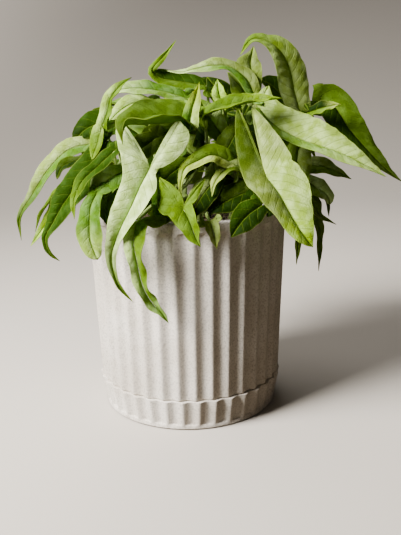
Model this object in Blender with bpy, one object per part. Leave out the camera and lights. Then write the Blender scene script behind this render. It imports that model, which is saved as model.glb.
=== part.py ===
"""Arrowhead plant in a fluted stoneware pot that stands in a matching saucer.

The named sizes are in millimetres and angles in degrees; MM turns a length into metres where a
mesh is made. The origin is the middle of the saucer's underside, +Z is up and -Y is the front.
"""

import math

import bpy
import bmesh
import numpy as np

MM = 0.001
CLEARANCE = 0.3
MERGE = 0.01

# Flutes, shared by pot and saucer
FLUTES = 36
STEPS_PER_FLUTE = 4
FLUTE_SHAPE = 0.8
DENSE = FLUTES * STEPS_PER_FLUTE
PLAIN = DENSE // 2
SHARP_WALL = 35
FLUTE_DEPTH = 1.9
POT_RIDGE_AT = -37.1
SAUCER_RIDGE_AT = POT_RIDGE_AT + 2.0

# Saucer
SAUCER_HEIGHT = 22.5
SAUCER_BASE_RADIUS = 61.6
SAUCER_LIP_RADIUS = 63.2
SAUCER_LIP_HEIGHT = 2.6
SAUCER_LIP_ROUND = 1.3
SAUCER_FLUTE_START = 4.2
SAUCER_TOP_RADIUS = 67.0
SAUCER_FLOOR = 4.0
SAUCER_INNER_FLOOR_RADIUS = 58.8
SAUCER_INNER_TOP_RADIUS = 60.3

# Pot
POT_HEIGHT = 147.5
POT_BOTTOM = SAUCER_FLOOR + CLEARANCE
POT_SHOULDER = SAUCER_HEIGHT + 0.5
POT_FOOT_RADIUS = 58.0
POT_FOOT_TOP_RADIUS = 59.4
POT_SHOULDER_RADIUS = 65.8
POT_TOP_RADIUS = 70.4
RIM_BAND = 6.5
RIM_ROUND = 1.2
FLUTE_FADE = 3.0
POT_INNER_TOP_RADIUS = 64.6
POT_INNER_FLOOR_RADIUS = 53.5
POT_FLOOR_THICKNESS = 6.5
POT_FLOOR = POT_BOTTOM + POT_FLOOR_THICKNESS
DRAIN_RADIUS = 5.0
DRAIN_SIDES = PLAIN // 3

# Soil, and the short stems that stand in holes in it
SOIL_TOP = 137.0
SOIL_SWELL = 1.6
SOIL_EDGE_DROP = 1.5
SOIL_MOUNDS = (52.0, 36.0, 18.0)
SOIL_SIDES = PLAIN // 2
BUMP_SPREAD = 9.0
BUMP_BIAS = 0.2
STUB_RADIUS = 4.2
STUB_DEPTH = 11.0
STUB_HEIGHT = 8.0
STUB_TAPER = 0.7
HOLE_RADIUS = 4.8
HOLE_DEPTH = STUB_DEPTH + CLEARANCE
HOLE_SIDES = 10

# Leaves
BLADE_THICKNESS = 0.7
SHARP_LEAF = 50
PETIOLE_FOOT_RADIUS = 1.7
PETIOLE_NECK_RADIUS = 1.0
PETIOLE_RINGS = 6
PETIOLE_TIP_RADIUS = 0.6
RIM_CLEAR_RADIUS = 54.0
RIM_CLEAR_HEIGHT = 156.0
LOW_NECK_HEIGHT = 172.0
EDGE_WAVE = 0.8
ROW_LENGTH = 15.5
LONG_LOBE = 26.0
NARROW_BLADE = 7.1
PUFF = 0.06
FOLD_AT_NECK = 0.35
FOLD_FULL_AFTER = 0.2
LEFT_EDGE_PHASE = 1.3
LOBE_ARCH = 0.3
LOBE_START = 0.8
LOBE_SHRINK = 1.5
LOBE_TURNS = 0.6

# Leaves at the back, which arch over: half widths from neck to tip, as shares of the widest
ARCH_WIDTHS = (0.72, 1.0, 0.8, 0.38, 0.0)
ARCH_LOBE = {"out": 1.15, "back": 0.26, "up": 9.0, "pitch": 12.0, "inner": 3.0, "outer": 4.5, "blunt": 0.7}
ARCH_FOLD = 14.0
ARCH_WAVE = 1.0

# Petioles
ARRIVAL_SHARE = 0.3
ARRIVAL_LENGTH = 18.0
UNDER_MIDRIB = 5.0

STONEWARE = (0.56, 0.51, 0.44)
SOIL_BROWN = (0.035, 0.022, 0.014)
GREENS = ((0.46, 0.60, 0.26), (0.30, 0.46, 0.14), (0.20, 0.38, 0.08), (0.38, 0.52, 0.20))


def clear_scene():
    for old in list(bpy.data.objects):
        bpy.data.objects.remove(old, do_unlink=True)


def material(name, colour, roughness):
    made = bpy.data.materials.new(name)
    made.use_nodes = True
    shader = made.node_tree.nodes["Principled BSDF"]
    shader.inputs["Base Color"].default_value = (*colour, 1.0)
    shader.inputs["Roughness"].default_value = roughness
    shader.inputs["Metallic"].default_value = 0.0
    return made


def new_object(name, bm, finish=None):
    """An object in the scene made from a bmesh in millimetres."""
    bmesh.ops.scale(bm, vec=(MM, MM, MM), verts=bm.verts)
    mesh = bpy.data.meshes.new(name)
    bm.to_mesh(mesh)
    bm.free()
    if finish:
        mesh.materials.append(finish)
    made = bpy.data.objects.new(name, mesh)
    bpy.context.scene.collection.objects.link(made)
    return made


def shade(obj, sharp_over):
    obj.data.shade_smooth()
    obj.data.set_sharp_from_angle(angle=math.radians(sharp_over))


def apply_modifiers(obj):
    graph = bpy.context.evaluated_depsgraph_get()
    solved = bpy.data.meshes.new_from_object(obj.evaluated_get(graph))
    obj.modifiers.clear()
    old = obj.data
    obj.data = solved
    bpy.data.meshes.remove(old)


# Turned and fluted walls


def place_ring(verts, column, ridge_at, z, radius, count, flute_depth=0.0):
    """Moves a loop of DENSE vertices to a circle, hollowed between ridges. With a lower count, the
    columns between two of its corners share a corner."""
    for vert in verts:
        turn = 360.0 / count * (vert[column] * count // DENSE)
        hollow = math.sin(math.pi * (turn * FLUTES / 360.0 % 1.0)) ** FLUTE_SHAPE
        angle = math.radians(ridge_at + turn)
        r = radius - flute_depth * hollow
        vert.co = (r * math.sin(angle), -r * math.cos(angle), z)


def turned(name, profile, ridge_at, finish, closed):
    """A body extruded from ring to ring, up the outside and down the inside. A closed profile goes
    back to its first ring, and an open one gets a face across its first and its last."""
    bm = bmesh.new()
    column = bm.verts.layers.int.new("column")
    verts = bmesh.ops.create_circle(bm, segments=DENSE, radius=1.0)["verts"]
    for k, vert in enumerate(verts):
        vert[column] = k
    edges = bm.edges[:]
    place_ring(verts, column, ridge_at, *profile[0])
    if not closed:
        bmesh.ops.contextual_create(bm, geom=edges)
    for place in profile[1:] + profile[:1] * closed:
        made = bmesh.ops.extrude_edge_only(bm, edges=edges)["geom"]
        verts = [item for item in made if isinstance(item, bmesh.types.BMVert)]
        edges = [item for item in made if isinstance(item, bmesh.types.BMEdge)
                 and all(vert in verts for vert in item.verts)]
        place_ring(verts, column, ridge_at, *place)
    if not closed:
        bmesh.ops.contextual_create(bm, geom=edges)
    bmesh.ops.remove_doubles(bm, verts=bm.verts, dist=MERGE)
    bmesh.ops.triangulate(bm, faces=bm.faces)
    bmesh.ops.recalc_face_normals(bm, faces=bm.faces)
    return new_object(name, bm, finish)


def make_saucer(finish):
    spread = (SAUCER_TOP_RADIUS - SAUCER_LIP_RADIUS) / (SAUCER_HEIGHT - SAUCER_LIP_HEIGHT)
    start_radius = SAUCER_LIP_RADIUS + spread * (SAUCER_FLUTE_START - SAUCER_LIP_HEIGHT)
    saucer = turned("saucer", [
        (0.0, SAUCER_BASE_RADIUS, PLAIN),
        (SAUCER_LIP_ROUND, SAUCER_LIP_RADIUS, PLAIN),
        (SAUCER_LIP_HEIGHT, SAUCER_LIP_RADIUS, DENSE),
        (SAUCER_FLUTE_START, start_radius, DENSE, FLUTE_DEPTH),
        (SAUCER_HEIGHT, SAUCER_TOP_RADIUS, DENSE, FLUTE_DEPTH),
        (SAUCER_HEIGHT, SAUCER_INNER_TOP_RADIUS, PLAIN),
        (SAUCER_FLOOR, SAUCER_INNER_FLOOR_RADIUS, PLAIN),
    ], SAUCER_RIDGE_AT, finish, closed=False)
    shade(saucer, SHARP_WALL)


def make_pot(finish):
    band_at = POT_HEIGHT - RIM_BAND
    rise = (POT_TOP_RADIUS - POT_SHOULDER_RADIUS) / (POT_HEIGHT - POT_SHOULDER)
    band_radius = POT_TOP_RADIUS - rise * RIM_BAND
    pot = turned("pot", [
        (POT_BOTTOM, DRAIN_RADIUS, DRAIN_SIDES),
        (POT_BOTTOM, POT_FOOT_RADIUS, PLAIN),
        (POT_SHOULDER, POT_FOOT_TOP_RADIUS, PLAIN),
        (POT_SHOULDER, POT_SHOULDER_RADIUS, DENSE, FLUTE_DEPTH),
        (band_at - FLUTE_FADE, band_radius - FLUTE_FADE * rise, DENSE, FLUTE_DEPTH),
        (band_at, band_radius, DENSE),
        (POT_HEIGHT - RIM_ROUND, POT_TOP_RADIUS, PLAIN),
        (POT_HEIGHT, POT_TOP_RADIUS - RIM_ROUND, PLAIN),
        (POT_HEIGHT, POT_INNER_TOP_RADIUS, PLAIN),
        (POT_FLOOR, POT_INNER_FLOOR_RADIUS, PLAIN),
        (POT_FLOOR, DRAIN_RADIUS, DRAIN_SIDES),
    ], POT_RIDGE_AT, finish, closed=True)
    shade(pot, SHARP_WALL)


def inner_radius(z):
    share = (z - POT_FLOOR) / (POT_HEIGHT - POT_FLOOR)
    return POT_INNER_FLOOR_RADIUS + share * (POT_INNER_TOP_RADIUS - POT_INNER_FLOOR_RADIUS)


def make_soil(finish):
    """A plug that fills the pot, a little uneven on top, with a plain hole for each stem."""
    bottom = POT_FLOOR + CLEARANCE
    edge = SOIL_TOP - SOIL_EDGE_DROP
    profile = [(bottom, inner_radius(bottom) - CLEARANCE, SOIL_SIDES),
               (edge, inner_radius(edge) - CLEARANCE, SOIL_SIDES)]
    profile += [(SOIL_TOP, radius, SOIL_SIDES // 2) for radius in SOIL_MOUNDS]
    soil = turned("soil", profile, POT_RIDGE_AT, finish, closed=False)
    for vert in soil.data.vertices:
        if vert.co.z > (SOIL_TOP - CLEARANCE) * MM:
            bump = math.sin(vert.co.x / MM / BUMP_SPREAD) * math.cos(vert.co.y / MM / BUMP_SPREAD)
            vert.co.z += SOIL_SWELL * (BUMP_BIAS + bump) * MM
    for name, (crown, _) in STEMS.items():
        cutter_bm = bmesh.new()
        bmesh.ops.create_cone(cutter_bm, cap_ends=True, segments=HOLE_SIDES, radius1=HOLE_RADIUS,
                              radius2=HOLE_RADIUS, depth=2 * HOLE_DEPTH)
        bmesh.ops.translate(cutter_bm, verts=cutter_bm.verts, vec=(*crown, SOIL_TOP))
        cutter = new_object("hole_" + name, cutter_bm)
        cutter.hide_render = True
        cutter.display_type = "WIRE"
        cut = soil.modifiers.new("hole_" + name, "BOOLEAN")
        cut.operation = "DIFFERENCE"
        cut.object = cutter


# Leaves


def lobe(tip, inner, outer, blunt=0.6, facing=None):
    """One of the two lobes behind the neck: its tip, and how far it swells to either side of the
    line from neck to tip. A low blunt rounds its end."""
    return {"tip": np.array(tip, float), "inner": inner, "outer": outer, "blunt": blunt, "facing": facing}


def leaf(rib, facing, right, left, folds, roundness=1.0, wave=EDGE_WAVE, waves=2.5):
    """A leaf blade by its midrib, from neck to tip, as (x, y, z, half width). A fifth value is the
    width of the left half where it differs from the right one.

    facing lists where its upper side looks, from neck to tip. folds raises its right and left half
    by that many degrees towards the upper side. Right and left are those of someone who looks along
    the midrib from above."""
    rib = np.array([(*point[:4], point[-1]) for point in rib], float)
    return {"rib": rib, "facing": facing, "lobes": (right, left), "folds": folds,
            "roundness": roundness, "wave": wave, "waves": waves}


def arching_leaf(azimuth, radius, height, start_pitch, end_pitch, length, width, drift):
    """A leaf that leaves the plant at an azimuth (0 is the front, 90 is +X) and arches over."""
    a = math.radians(azimuth)
    out = np.array([math.sin(a), -math.cos(a), 0.0])
    side = np.array([math.cos(a), math.sin(a), 0.0])
    up = np.array([0.0, 0.0, 1.0])
    turn = math.radians(drift)
    place = out * radius + up * height
    neck = place
    rib = [(*place, width * ARCH_WIDTHS[0])]
    steps = len(ARCH_WIDTHS) - 1
    for k, share in enumerate(ARCH_WIDTHS[1:]):
        pitch = math.radians(start_pitch + (end_pitch - start_pitch) * (k + 0.5) / steps)
        heading = unit(out * math.cos(pitch) + up * math.sin(pitch) + side * turn)
        place = place + heading * length / steps
        rib.append((*place, width * share))
    facing = []
    for pitch in (start_pitch, (start_pitch + end_pitch) / 2, end_pitch):
        p = math.radians(pitch)
        facing.append(tuple(-out * math.sin(p) + up * math.cos(p) + side * turn * 1.5))
    p = math.radians(start_pitch + ARCH_LOBE["pitch"])
    heading = out * math.cos(p) + up * math.sin(p)
    across = unit(np.cross(heading, facing[0])) * width * ARCH_LOBE["out"]
    behind = neck - heading * ARCH_LOBE["back"] * length + up * ARCH_LOBE["up"]
    lobes = [lobe(tip, ARCH_LOBE["inner"], ARCH_LOBE["outer"], ARCH_LOBE["blunt"])
             for tip in (behind + across, behind - across)]
    return leaf(rib, facing, *lobes, folds=(ARCH_FOLD, ARCH_FOLD), wave=ARCH_WAVE)


def unit(v):
    v = np.asarray(v, float)
    return v / max(np.linalg.norm(v), 1e-9)


# Each stem: where it stands in the soil, and its leaves
STEMS = {
    "front_left": ((-20, -36), [
        # The large pale arrow leaf at the front left, whose long twisted tip hangs over the rim.
        leaf([(-22, -64, 182, 21, 3), (-28, -70, 172, 12.8, 12.5), (-34, -76, 160, 11, 12),
              (-40, -80, 149, 9, 8), (-44, -80, 140, 6.5, 4), (-47, -80, 130, 4, 3.2),
              (-46, -79, 118, 2.2, 2.4), (-43, -78, 109, 1.6, 1.8), (-35, -78, 99, 0)],
             facing=[(0.1, -1, 0.3), (0, -1, 0.2), (0.3, -1, 0.3), (0.5, -0.8, 0.3)],
             right=lobe((-40, -50, 208), 2, 6, blunt=0.35),
             left=lobe((-3, -60, 210), 2.8, 10.9, blunt=0.35),
             folds=(8, 50)),
        # Long wavy leaf that hangs down the front of the pot.
        leaf([(-31, -77, 150, 8), (-33, -81, 140, 6.4, 8), (-31, -82, 124, 5.8), (-28, -81, 109, 5),
              (-23, -80, 99, 4.2), (-17, -80, 92, 2.6), (-13, -80, 85, 0)],
             facing=[(0.1, -1, 0.3), (0.2, -1, 0.2), (0.5, -1, 0.2)],
             right=lobe((-40, -72, 152), 3, 3.5), left=lobe((-12, -72, 151), 3, 4, facing=(0, -1, 0.3)),
             folds=(10, 55), wave=1.6, waves=3.5),
        # Blunt silvery leaf that hangs over the left of the rim.
        leaf([(-55, -68, 168, 4), (-59, -72, 160, 6.2), (-60, -75, 150, 8), (-60, -76, 140, 8.4),
              (-58, -76, 132, 5.8), (-56, -76, 127, 0)],
             facing=[(-0.3, -1, 0.2), (-0.3, -1, 0.1)],
             right=lobe((-59, -64, 170), 3, 3, blunt=0.4), left=lobe((-46, -62, 173), 4, 4, blunt=0.4),
             folds=(5, 5), roundness=2),
        # Small grey-green leaf above it.
        leaf([(-39, -58, 179, 5), (-46, -62, 176, 8), (-53, -64, 171, 8), (-58, -65, 163, 0)],
             facing=[(-0.2, -0.9, 0.4), (-0.3, -1, 0.2)],
             right=lobe((-39, -52, 185), 3, 3, blunt=0.5), left=lobe((-34, -58, 172), 3, 3, blunt=0.5),
             folds=(5, 5), roundness=1.6),
        # Narrow bright leaf with a pale margin.
        leaf([(-43, -58, 193, 5), (-55, -64, 183, 5.6), (-64, -67, 175, 4.8), (-69, -69, 165, 3.4),
              (-70, -70, 152, 0)],
             facing=[(-0.6, -0.8, 0.4), (-0.7, -0.8, 0.2), (-0.7, -0.8, 0.1)],
             right=lobe((-44, -46, 197), 3, 3), left=lobe((-37, -54, 187), 3, 3),
             folds=(10, 10)),
    ]),
    "left": ((-40, -10), [
        # Silvery leaf that reaches furthest left and hooks down.
        leaf([(-61, -26, 193, 6), (-76, -30, 190, 8), (-89, -34, 179, 7.5), (-101, -38, 162, 4.2),
              (-110, -40, 147, 2), (-110, -42, 132, 0)],
             facing=[(-0.2, -0.7, 0.7), (-0.4, -0.8, 0.4), (-0.4, -0.9, 0.2)],
             right=lobe((-57, -14, 200), 4, 4), left=lobe((-54, -30, 185), 4, 4),
             folds=(5, 20)),
        # Leaf behind, of which the pale tip shows.
        leaf([(-63, -22, 177, 6), (-80, -32, 157, 8), (-95, -36, 140, 4), (-105, -38, 127, 0)],
             facing=[(-0.4, -0.8, 0.4), (-0.5, -0.8, 0.2)],
             right=lobe((-63, -12, 185), 4, 4), left=lobe((-55, -26, 174), 4, 4),
             folds=(10, 10)),
        # Small dark curled leaf under the silvery one.
        leaf([(-60, -34, 185, 4), (-70, -40, 184, 5), (-79, -44, 181, 5), (-83, -46, 173, 0)],
             facing=[(-0.2, -0.6, 0.8), (-0.5, -0.7, 0.4)],
             right=lobe((-57, -28, 190), 3, 3), left=lobe((-55, -36, 181), 3, 3),
             folds=(5, 20), roundness=1.5),
        # Broad bright green leaf with a long hooked tip.
        leaf([(-50, -44, 197, 7), (-56, -48, 186, 9.5), (-65, -54, 174, 11), (-76, -58, 162, 9.2),
              (-85, -58, 148, 5.6), (-91, -58, 137, 3), (-89, -57, 127, 1.6), (-83, -56, 121, 0)],
             facing=[(-0.3, -0.9, 0.4), (-0.4, -0.9, 0.3), (-0.5, -0.8, 0.2)],
             right=lobe((-48, -34, 206), 4, 4), left=lobe((-41, -48, 190), 4, 5),
             folds=(10, 10)),
        # Rounded dark leaf at the back left.
        leaf([(-45, -14, 205, 9), (-58, -18, 205, 11), (-67, -20, 201, 8.5), (-74, -22, 194, 0)],
             facing=[(-0.2, -0.8, 0.6), (-0.3, -0.8, 0.5)],
             right=lobe((-49, -4, 215), 4, 4, blunt=0.5), left=lobe((-39, -18, 196), 4, 4, blunt=0.5),
             folds=(5, 5), roundness=1.6),
        # Narrow yellow-green leaf that stands on its hanging lobe.
        leaf([(-52, -46, 206, 4.5), (-48, -47, 215, 5.5), (-45, -48, 224, 5), (-39, -49, 231, 2.8),
              (-32, -49, 236, 0)],
             facing=[(-0.3, -1, 0.1), (-0.5, -1, 0.1)],
             right=lobe((-42, -46, 209), 2, 2),
             left=lobe((-59, -52, 186), 3, 4, blunt=0.8, facing=(-0.3, -1, 0.2)),
             folds=(50, 10)),
    ]),
    "mid_left": ((-14, -12), [
        # Broad olive leaf that points left, its near half folded down.
        leaf([(1, -42, 209, 15), (-12, -48, 208, 18), (-26, -54, 208, 16), (-36, -60, 208, 8),
              (-38, -64, 204, 3), (-38, -66, 197, 0)],
             facing=[(0, -0.8, 0.6), (0, -0.8, 0.6), (-0.3, -0.8, 0.5)],
             right=lobe((9, -32, 218), 4, 3), left=lobe((7, -50, 200), 3, 4),
             folds=(0, 70)),
        # Silvery leaf seen from its edge.
        leaf([(1, -20, 221, 5), (-16, -22, 226, 6.4), (-35, -24, 228, 6), (-51, -26, 225, 0)],
             facing=[(0, -0.6, 0.8), (0, -0.6, 0.8)],
             right=lobe((8, -8, 225), 3, 4), left=lobe((8, -30, 215), 3, 4),
             folds=(10, 10), roundness=1.4),
        # Small pale leaf below it.
        leaf([(-22, -28, 219, 4), (-33, -34, 219, 7), (-42, -38, 214, 5), (-48, -40, 208, 0)],
             facing=[(-0.1, -0.7, 0.7), (-0.4, -0.8, 0.5)],
             right=lobe((-16, -20, 222), 3, 3), left=lobe((-17, -32, 213), 3, 3),
             folds=(10, 10), roundness=1.4),
        # Green leaf between the lobes of the large pale one.
        leaf([(-18, -44, 198, 6), (-26, -48, 193, 9), (-32, -50, 190, 6), (-37, -52, 187, 0)],
             facing=[(-0.1, -0.9, 0.5), (-0.1, -0.9, 0.4)],
             right=lobe((-16, -38, 205), 4, 4), left=lobe((-12, -46, 193), 4, 4),
             folds=(10, 10)),
        # Narrow silvery leaf that stands upright.
        leaf([(1, -48, 193, 4), (3, -46, 204, 5.8), (5, -44, 215, 5.2), (8, -41, 224, 2.9),
              (10, -40, 232, 0)],
             facing=[(-0.2, -1, 0.1), (-0.3, -1, 0.1)],
             right=lobe((7, -50, 187), 2, 2, blunt=0.8), left=lobe((-3, -46, 186), 2, 2, blunt=0.8),
             folds=(10, 20)),
    ]),
    "front": ((8, -40), [
        # Tiny leaf at the rim.
        leaf([(14, -75, 150, 4), (16, -79, 144, 4.8), (18, -80, 133, 0)],
             facing=[(0.1, -1, 0.5), (0.1, -1, 0.2)],
             right=lobe((7, -78, 147), 2, 3), left=lobe((22, -76, 152), 2, 3),
             folds=(30, 30)),
        # Dark leaf low at the front.
        leaf([(-16, -60, 166, 6), (-13, -66, 158, 9), (-17, -70, 151, 6), (-22, -72, 147, 0)],
             facing=[(-0.1, -0.9, 0.5), (-0.1, -1, 0.3)],
             right=lobe((-24, -58, 167), 4, 4), left=lobe((-9, -58, 169), 4, 4),
             folds=(10, 10)),
    ]),
    "front_right": ((32, -30), [
        # The broad arrow leaf at the front right, nearly flat, with two long lobes.
        leaf([(50, -66, 175, 14, 19.5), (57, -72, 166, 14, 20), (63, -78, 155, 11, 15.3),
              (69, -83, 145, 8, 9.8), (73, -84, 139, 5, 5.2), (77, -84, 134, 0)],
             facing=[(0.1, -1, 0.45), (0.1, -1, 0.3)],
             right=lobe((34, -44, 216), 1.5, 6, blunt=0.7), left=lobe((43, -40, 216), 1, 6, blunt=0.7),
             folds=(22, 8)),
        # Dark leaf that dips over the rim.
        leaf([(47, -66, 157, 6), (38, -71, 152, 9), (32, -74, 146, 6.5), (27, -76, 139, 0)],
             facing=[(-0.1, -0.9, 0.5), (-0.1, -1, 0.2)],
             right=lobe((44, -58, 163), 4, 4), left=lobe((55, -68, 152), 4, 4),
             folds=(10, 10)),
        # Dark leaf low in the middle.
        leaf([(46, -54, 165, 5), (33, -58, 162, 9), (21, -62, 157, 7), (12, -64, 152, 0)],
             facing=[(-0.1, -0.8, 0.6), (-0.3, -0.9, 0.4)],
             right=lobe((51, -46, 171), 4, 4), left=lobe((51, -58, 158), 4, 4),
             folds=(10, 10)),
        # Green leaf inside the plant.
        leaf([(35, -34, 202, 6), (28, -42, 191, 9), (22, -46, 183, 5), (18, -48, 176, 0)],
             facing=[(-0.2, -0.9, 0.4), (-0.3, -0.9, 0.3)],
             right=lobe((34, -26, 209), 4, 4), left=lobe((41, -36, 197), 4, 4),
             folds=(10, 10)),
        # Olive leaf that hooks down.
        leaf([(39, -50, 179, 5), (29, -54, 180, 7.5), (23, -58, 177, 4.4), (18, -62, 171, 2.6),
              (16, -64, 163, 0)],
             facing=[(-0.2, -0.6, 0.8), (-0.4, -0.8, 0.4)],
             right=lobe((44, -42, 185), 4, 4), left=lobe((45, -50, 172), 4, 4),
             folds=(10, 20)),
        # Yellowish leaf that arches over to the left.
        leaf([(33, -50, 180, 6), (17, -56, 188, 7.5), (8, -59, 185, 5.6), (0, -61, 181, 3.8),
              (-3, -62, 172, 2.2), (-3, -62, 159, 0)],
             facing=[(-0.1, -0.7, 0.7), (-0.3, -0.8, 0.4), (-0.6, -0.7, 0.3)],
             right=lobe((37, -40, 187), 4, 4), left=lobe((40, -50, 172), 4, 4),
             folds=(10, 20)),
        # Small yellow-green arrow leaf at the front.
        leaf([(-2, -79, 159, 10.5, 6.5), (2, -82, 150, 7.5, 8), (5, -84, 142, 4.4, 4.2),
              (8, -85, 136, 0)],
             facing=[(0, -1, 0.4), (0, -1, 0.2)],
             right=lobe((-16, -70, 177), 4, 7, blunt=1.1),
             left=lobe((12, -68, 175), 1.8, 2.2, blunt=0.9, facing=(0.3, -1, 0.1)),
             folds=(5, 55)),
    ]),
    "mid": ((14, -4), [
        # Rolled yellow-green leaf that lies level.
        leaf([(13, -34, 211, 6), (28, -38, 216, 8), (46, -36, 219, 6), (64, -30, 220, 0)],
             facing=[(0, -0.4, 0.92), (0, -0.4, 0.92)],
             right=lobe((14, -42, 202), 2, 2, blunt=0.8), left=lobe((6, -24, 214), 3, 4),
             folds=(30, 30)),
        # Lime green tip.
        leaf([(25, -24, 217, 3), (23, -24, 224, 5), (22, -24, 233, 0)],
             facing=[(-0.1, -1, 0.2), (-0.1, -1, 0.2)],
             right=lobe((29, -24, 213), 2, 2), left=lobe((20, -24, 213), 2, 2),
             folds=(30, 10)),
        # Cream leaf that arches to the left along the top.
        leaf([(47, -14, 222, 5), (42, -13, 232, 6), (31, -12, 240, 5), (19, -12, 241, 5.4),
              (8, -12, 239, 3.4), (-1, -12, 237, 1.8), (-11, -12, 238, 0)],
             facing=[(-0.1, -0.75, 0.65), (-0.1, -0.75, 0.65)],
             right=lobe((46, 4, 224), 3, 3), left=lobe((51, -24, 216), 3, 3),
             folds=(5, 15)),
        # Folded leaf that stands upright.
        leaf([(49, -8, 217, 3.5, 3), (48, -8, 228, 4.6, 5), (46, -8, 236, 7.6, 8),
              (45, -8, 243, 6.6, 9.5), (46, -9, 248, 4, 3.4), (47, -10, 253, 0)],
             facing=[(-0.2, -1, 0.1), (-0.2, -1, 0.1)],
             right=lobe((54, -10, 208), 3, 3), left=lobe((41, -6, 208), 3, 3),
             folds=(15, 15)),
        # The big pale leaf that points right.
        leaf([(49, -22, 214, 5, 12), (59, -28, 203, 6, 17), (75, -34, 194, 7, 19),
              (91, -40, 189, 8.4, 16), (106, -44, 183, 6.5, 9.6), (130, -46, 170, 0)],
             facing=[(0.1, -0.8, 0.6), (0.1, -0.8, 0.6)],
             right=lobe((42, -34, 204), 4, 4, blunt=0.7), left=lobe((57, -12, 227), 4, 3, blunt=0.9),
             folds=(20, 3)),
        # Green leaf at the back with a thin raised tip.
        leaf([(15, 6, 227, 6), (-2, 6, 230, 8), (-16, 6, 233, 7), (-21, 4, 238, 3.5),
              (-13, 3, 247, 2), (-4, 2, 258, 0)],
             facing=[(0, -0.6, 0.8), (0, -0.7, 0.7), (0.6, -0.8, 0.4)],
             right=lobe((17, 18, 232), 3, 4), left=lobe((19, 0, 219), 3, 4),
             folds=(10, 10)),
        # Dark leaf at the back, left of the middle.
        leaf([(33, 0, 212, 6), (26, 3, 221, 8.5), (21, 5, 227, 6.5), (16, 8, 233, 0)],
             facing=[(-0.1, -0.9, 0.4), (-0.1, -0.9, 0.4)],
             right=lobe((46, 3, 210), 3, 3), left=lobe((31, 3, 199), 3, 3),
             folds=(10, 10)),
    ]),
    "right": ((42, 2), [
        # Dark green leaf that reaches furthest right.
        leaf([(90, 12, 215, 11), (103, 8, 213, 14), (115, 2, 196, 12.5), (131, -2, 178, 7),
              (142, -4, 167, 3), (152, -6, 159, 0)],
             facing=[(0.25, -0.85, 0.5), (0.3, -0.8, 0.4)],
             right=lobe((80, 2, 208), 4, 4), left=lobe((99, 22, 226), 4, 4),
             folds=(5, 10)),
        # Olive leaf that arches over the top, the highest of all.
        leaf([(81, 4, 207, 7), (76, 2, 223, 10.3), (72, -1, 238, 10.4), (65, -4, 250, 8.4),
              (56, -5, 256, 5.4), (46, -6, 257, 3), (38, -8, 247, 0)],
             facing=[(0.1, -1, 0.1), (0.1, -1, 0.2), (0, -0.8, 0.6), (0, -0.6, 0.8)],
             right=lobe((91, 8, 198), 3, 3), left=lobe((72, 2, 199), 3, 3),
             folds=(8, 8)),
        # Small lime leaf at the right.
        leaf([(86, -8, 209, 4), (95, -10, 212, 5), (106, -12, 214, 0)],
             facing=[(0, -0.7, 0.7), (0, -0.7, 0.7)],
             right=lobe((81, -12, 205), 2, 2), left=lobe((83, 0, 214), 2, 2),
             folds=(20, 20)),
        # Shaded leaf at the right.
        leaf([(82, 2, 169, 6), (93, 0, 171, 7), (103, -2, 168, 5), (117, -2, 161, 0)],
             facing=[(0.1, -0.8, 0.6), (0.3, -0.8, 0.5)],
             right=lobe((75, -4, 163), 4, 4), left=lobe((77, 12, 175), 4, 4),
             folds=(10, 10)),
        # Leaf under the big pale one.
        leaf([(79, -12, 191, 6), (76, -18, 178, 10), (78, -22, 163, 6), (80, -24, 154, 0)],
             facing=[(0.2, -0.9, 0.4), (0.2, -1, 0.2)],
             right=lobe((69, -8, 194), 4, 4), left=lobe((88, -6, 195), 4, 4),
             folds=(10, 10)),
        # Rounded shaded leaf.
        leaf([(85, 6, 160, 5), (94, 4, 154, 7.6), (101, 2, 149, 5), (103, 2, 142, 0)],
             facing=[(0.3, -0.8, 0.5), (0.3, -0.9, 0.4)],
             right=lobe((75, 2, 156), 4, 4), left=lobe((83, 14, 167), 4, 4),
             folds=(10, 10), roundness=1.8),
        # Shaded leaf below it.
        leaf([(84, 12, 150, 5.5), (92, 12, 141, 7), (97, 11, 133, 3), (110, 12, 125, 0)],
             facing=[(0.3, -0.8, 0.5), (0.3, -0.9, 0.4)],
             right=lobe((75, 8, 149), 4, 4), left=lobe((85, 20, 157), 4, 4),
             folds=(10, 10)),
        # Leaf that hangs beside the pot.
        leaf([(70, -30, 149, 5), (75, -34, 131, 3.6), (74, -36, 109, 0)],
             facing=[(0.3, -0.9, 0.3), (0.3, -0.9, 0.1)],
             right=lobe((63, -30, 153), 3, 3), left=lobe((77, -28, 154), 3, 3),
             folds=(10, 10)),
        # Dark leaf at the back, right of the middle.
        leaf([(75, 8, 208, 7), (68, 8, 219, 10), (60, 6, 227, 7), (51, 4, 231, 0)],
             facing=[(-0.1, -0.9, 0.4), (-0.1, -0.8, 0.6)],
             right=lobe((91, 13, 205), 3, 3), left=lobe((73, 13, 193), 3, 3),
             folds=(10, 10)),
        # Leaves that arch over the back of the pot.
        arching_leaf(102, 70, 162, 5, -85, 60, 12, 6),
    ]),
    "back_right": ((32, 32), [
        # Leaf that hangs beside the pot, further back.
        leaf([(91, 26, 142, 4.5), (98, 28, 128, 4.2), (101, 30, 112, 3.4), (101, 30, 84, 0)],
             facing=[(0.4, -0.8, 0.3), (0.4, -0.9, 0.1)],
             right=lobe((83, 24, 149), 3, 3), left=lobe((97, 26, 150), 3, 3),
             folds=(10, 10)),
        # Leaves that arch over the back of the pot.
        arching_leaf(134, 60, 163, 15, -80, 74, 15, -6),
        arching_leaf(156, 62, 168, 16, -78, 74, 15, 5),
        arching_leaf(125, 54, 186, 25, -60, 78, 16, -5),
        arching_leaf(150, 46, 188, 28, -55, 76, 16, 6),
        arching_leaf(126, 36, 204, 42, -40, 60, 12, 5),
    ]),
    "back": ((-2, 40), [
        # Leaves that arch over the back of the pot.
        arching_leaf(179, 62, 160, 10, -85, 66, 14, -5),
        arching_leaf(177, 50, 184, 22, -65, 70, 15, -4),
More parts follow.
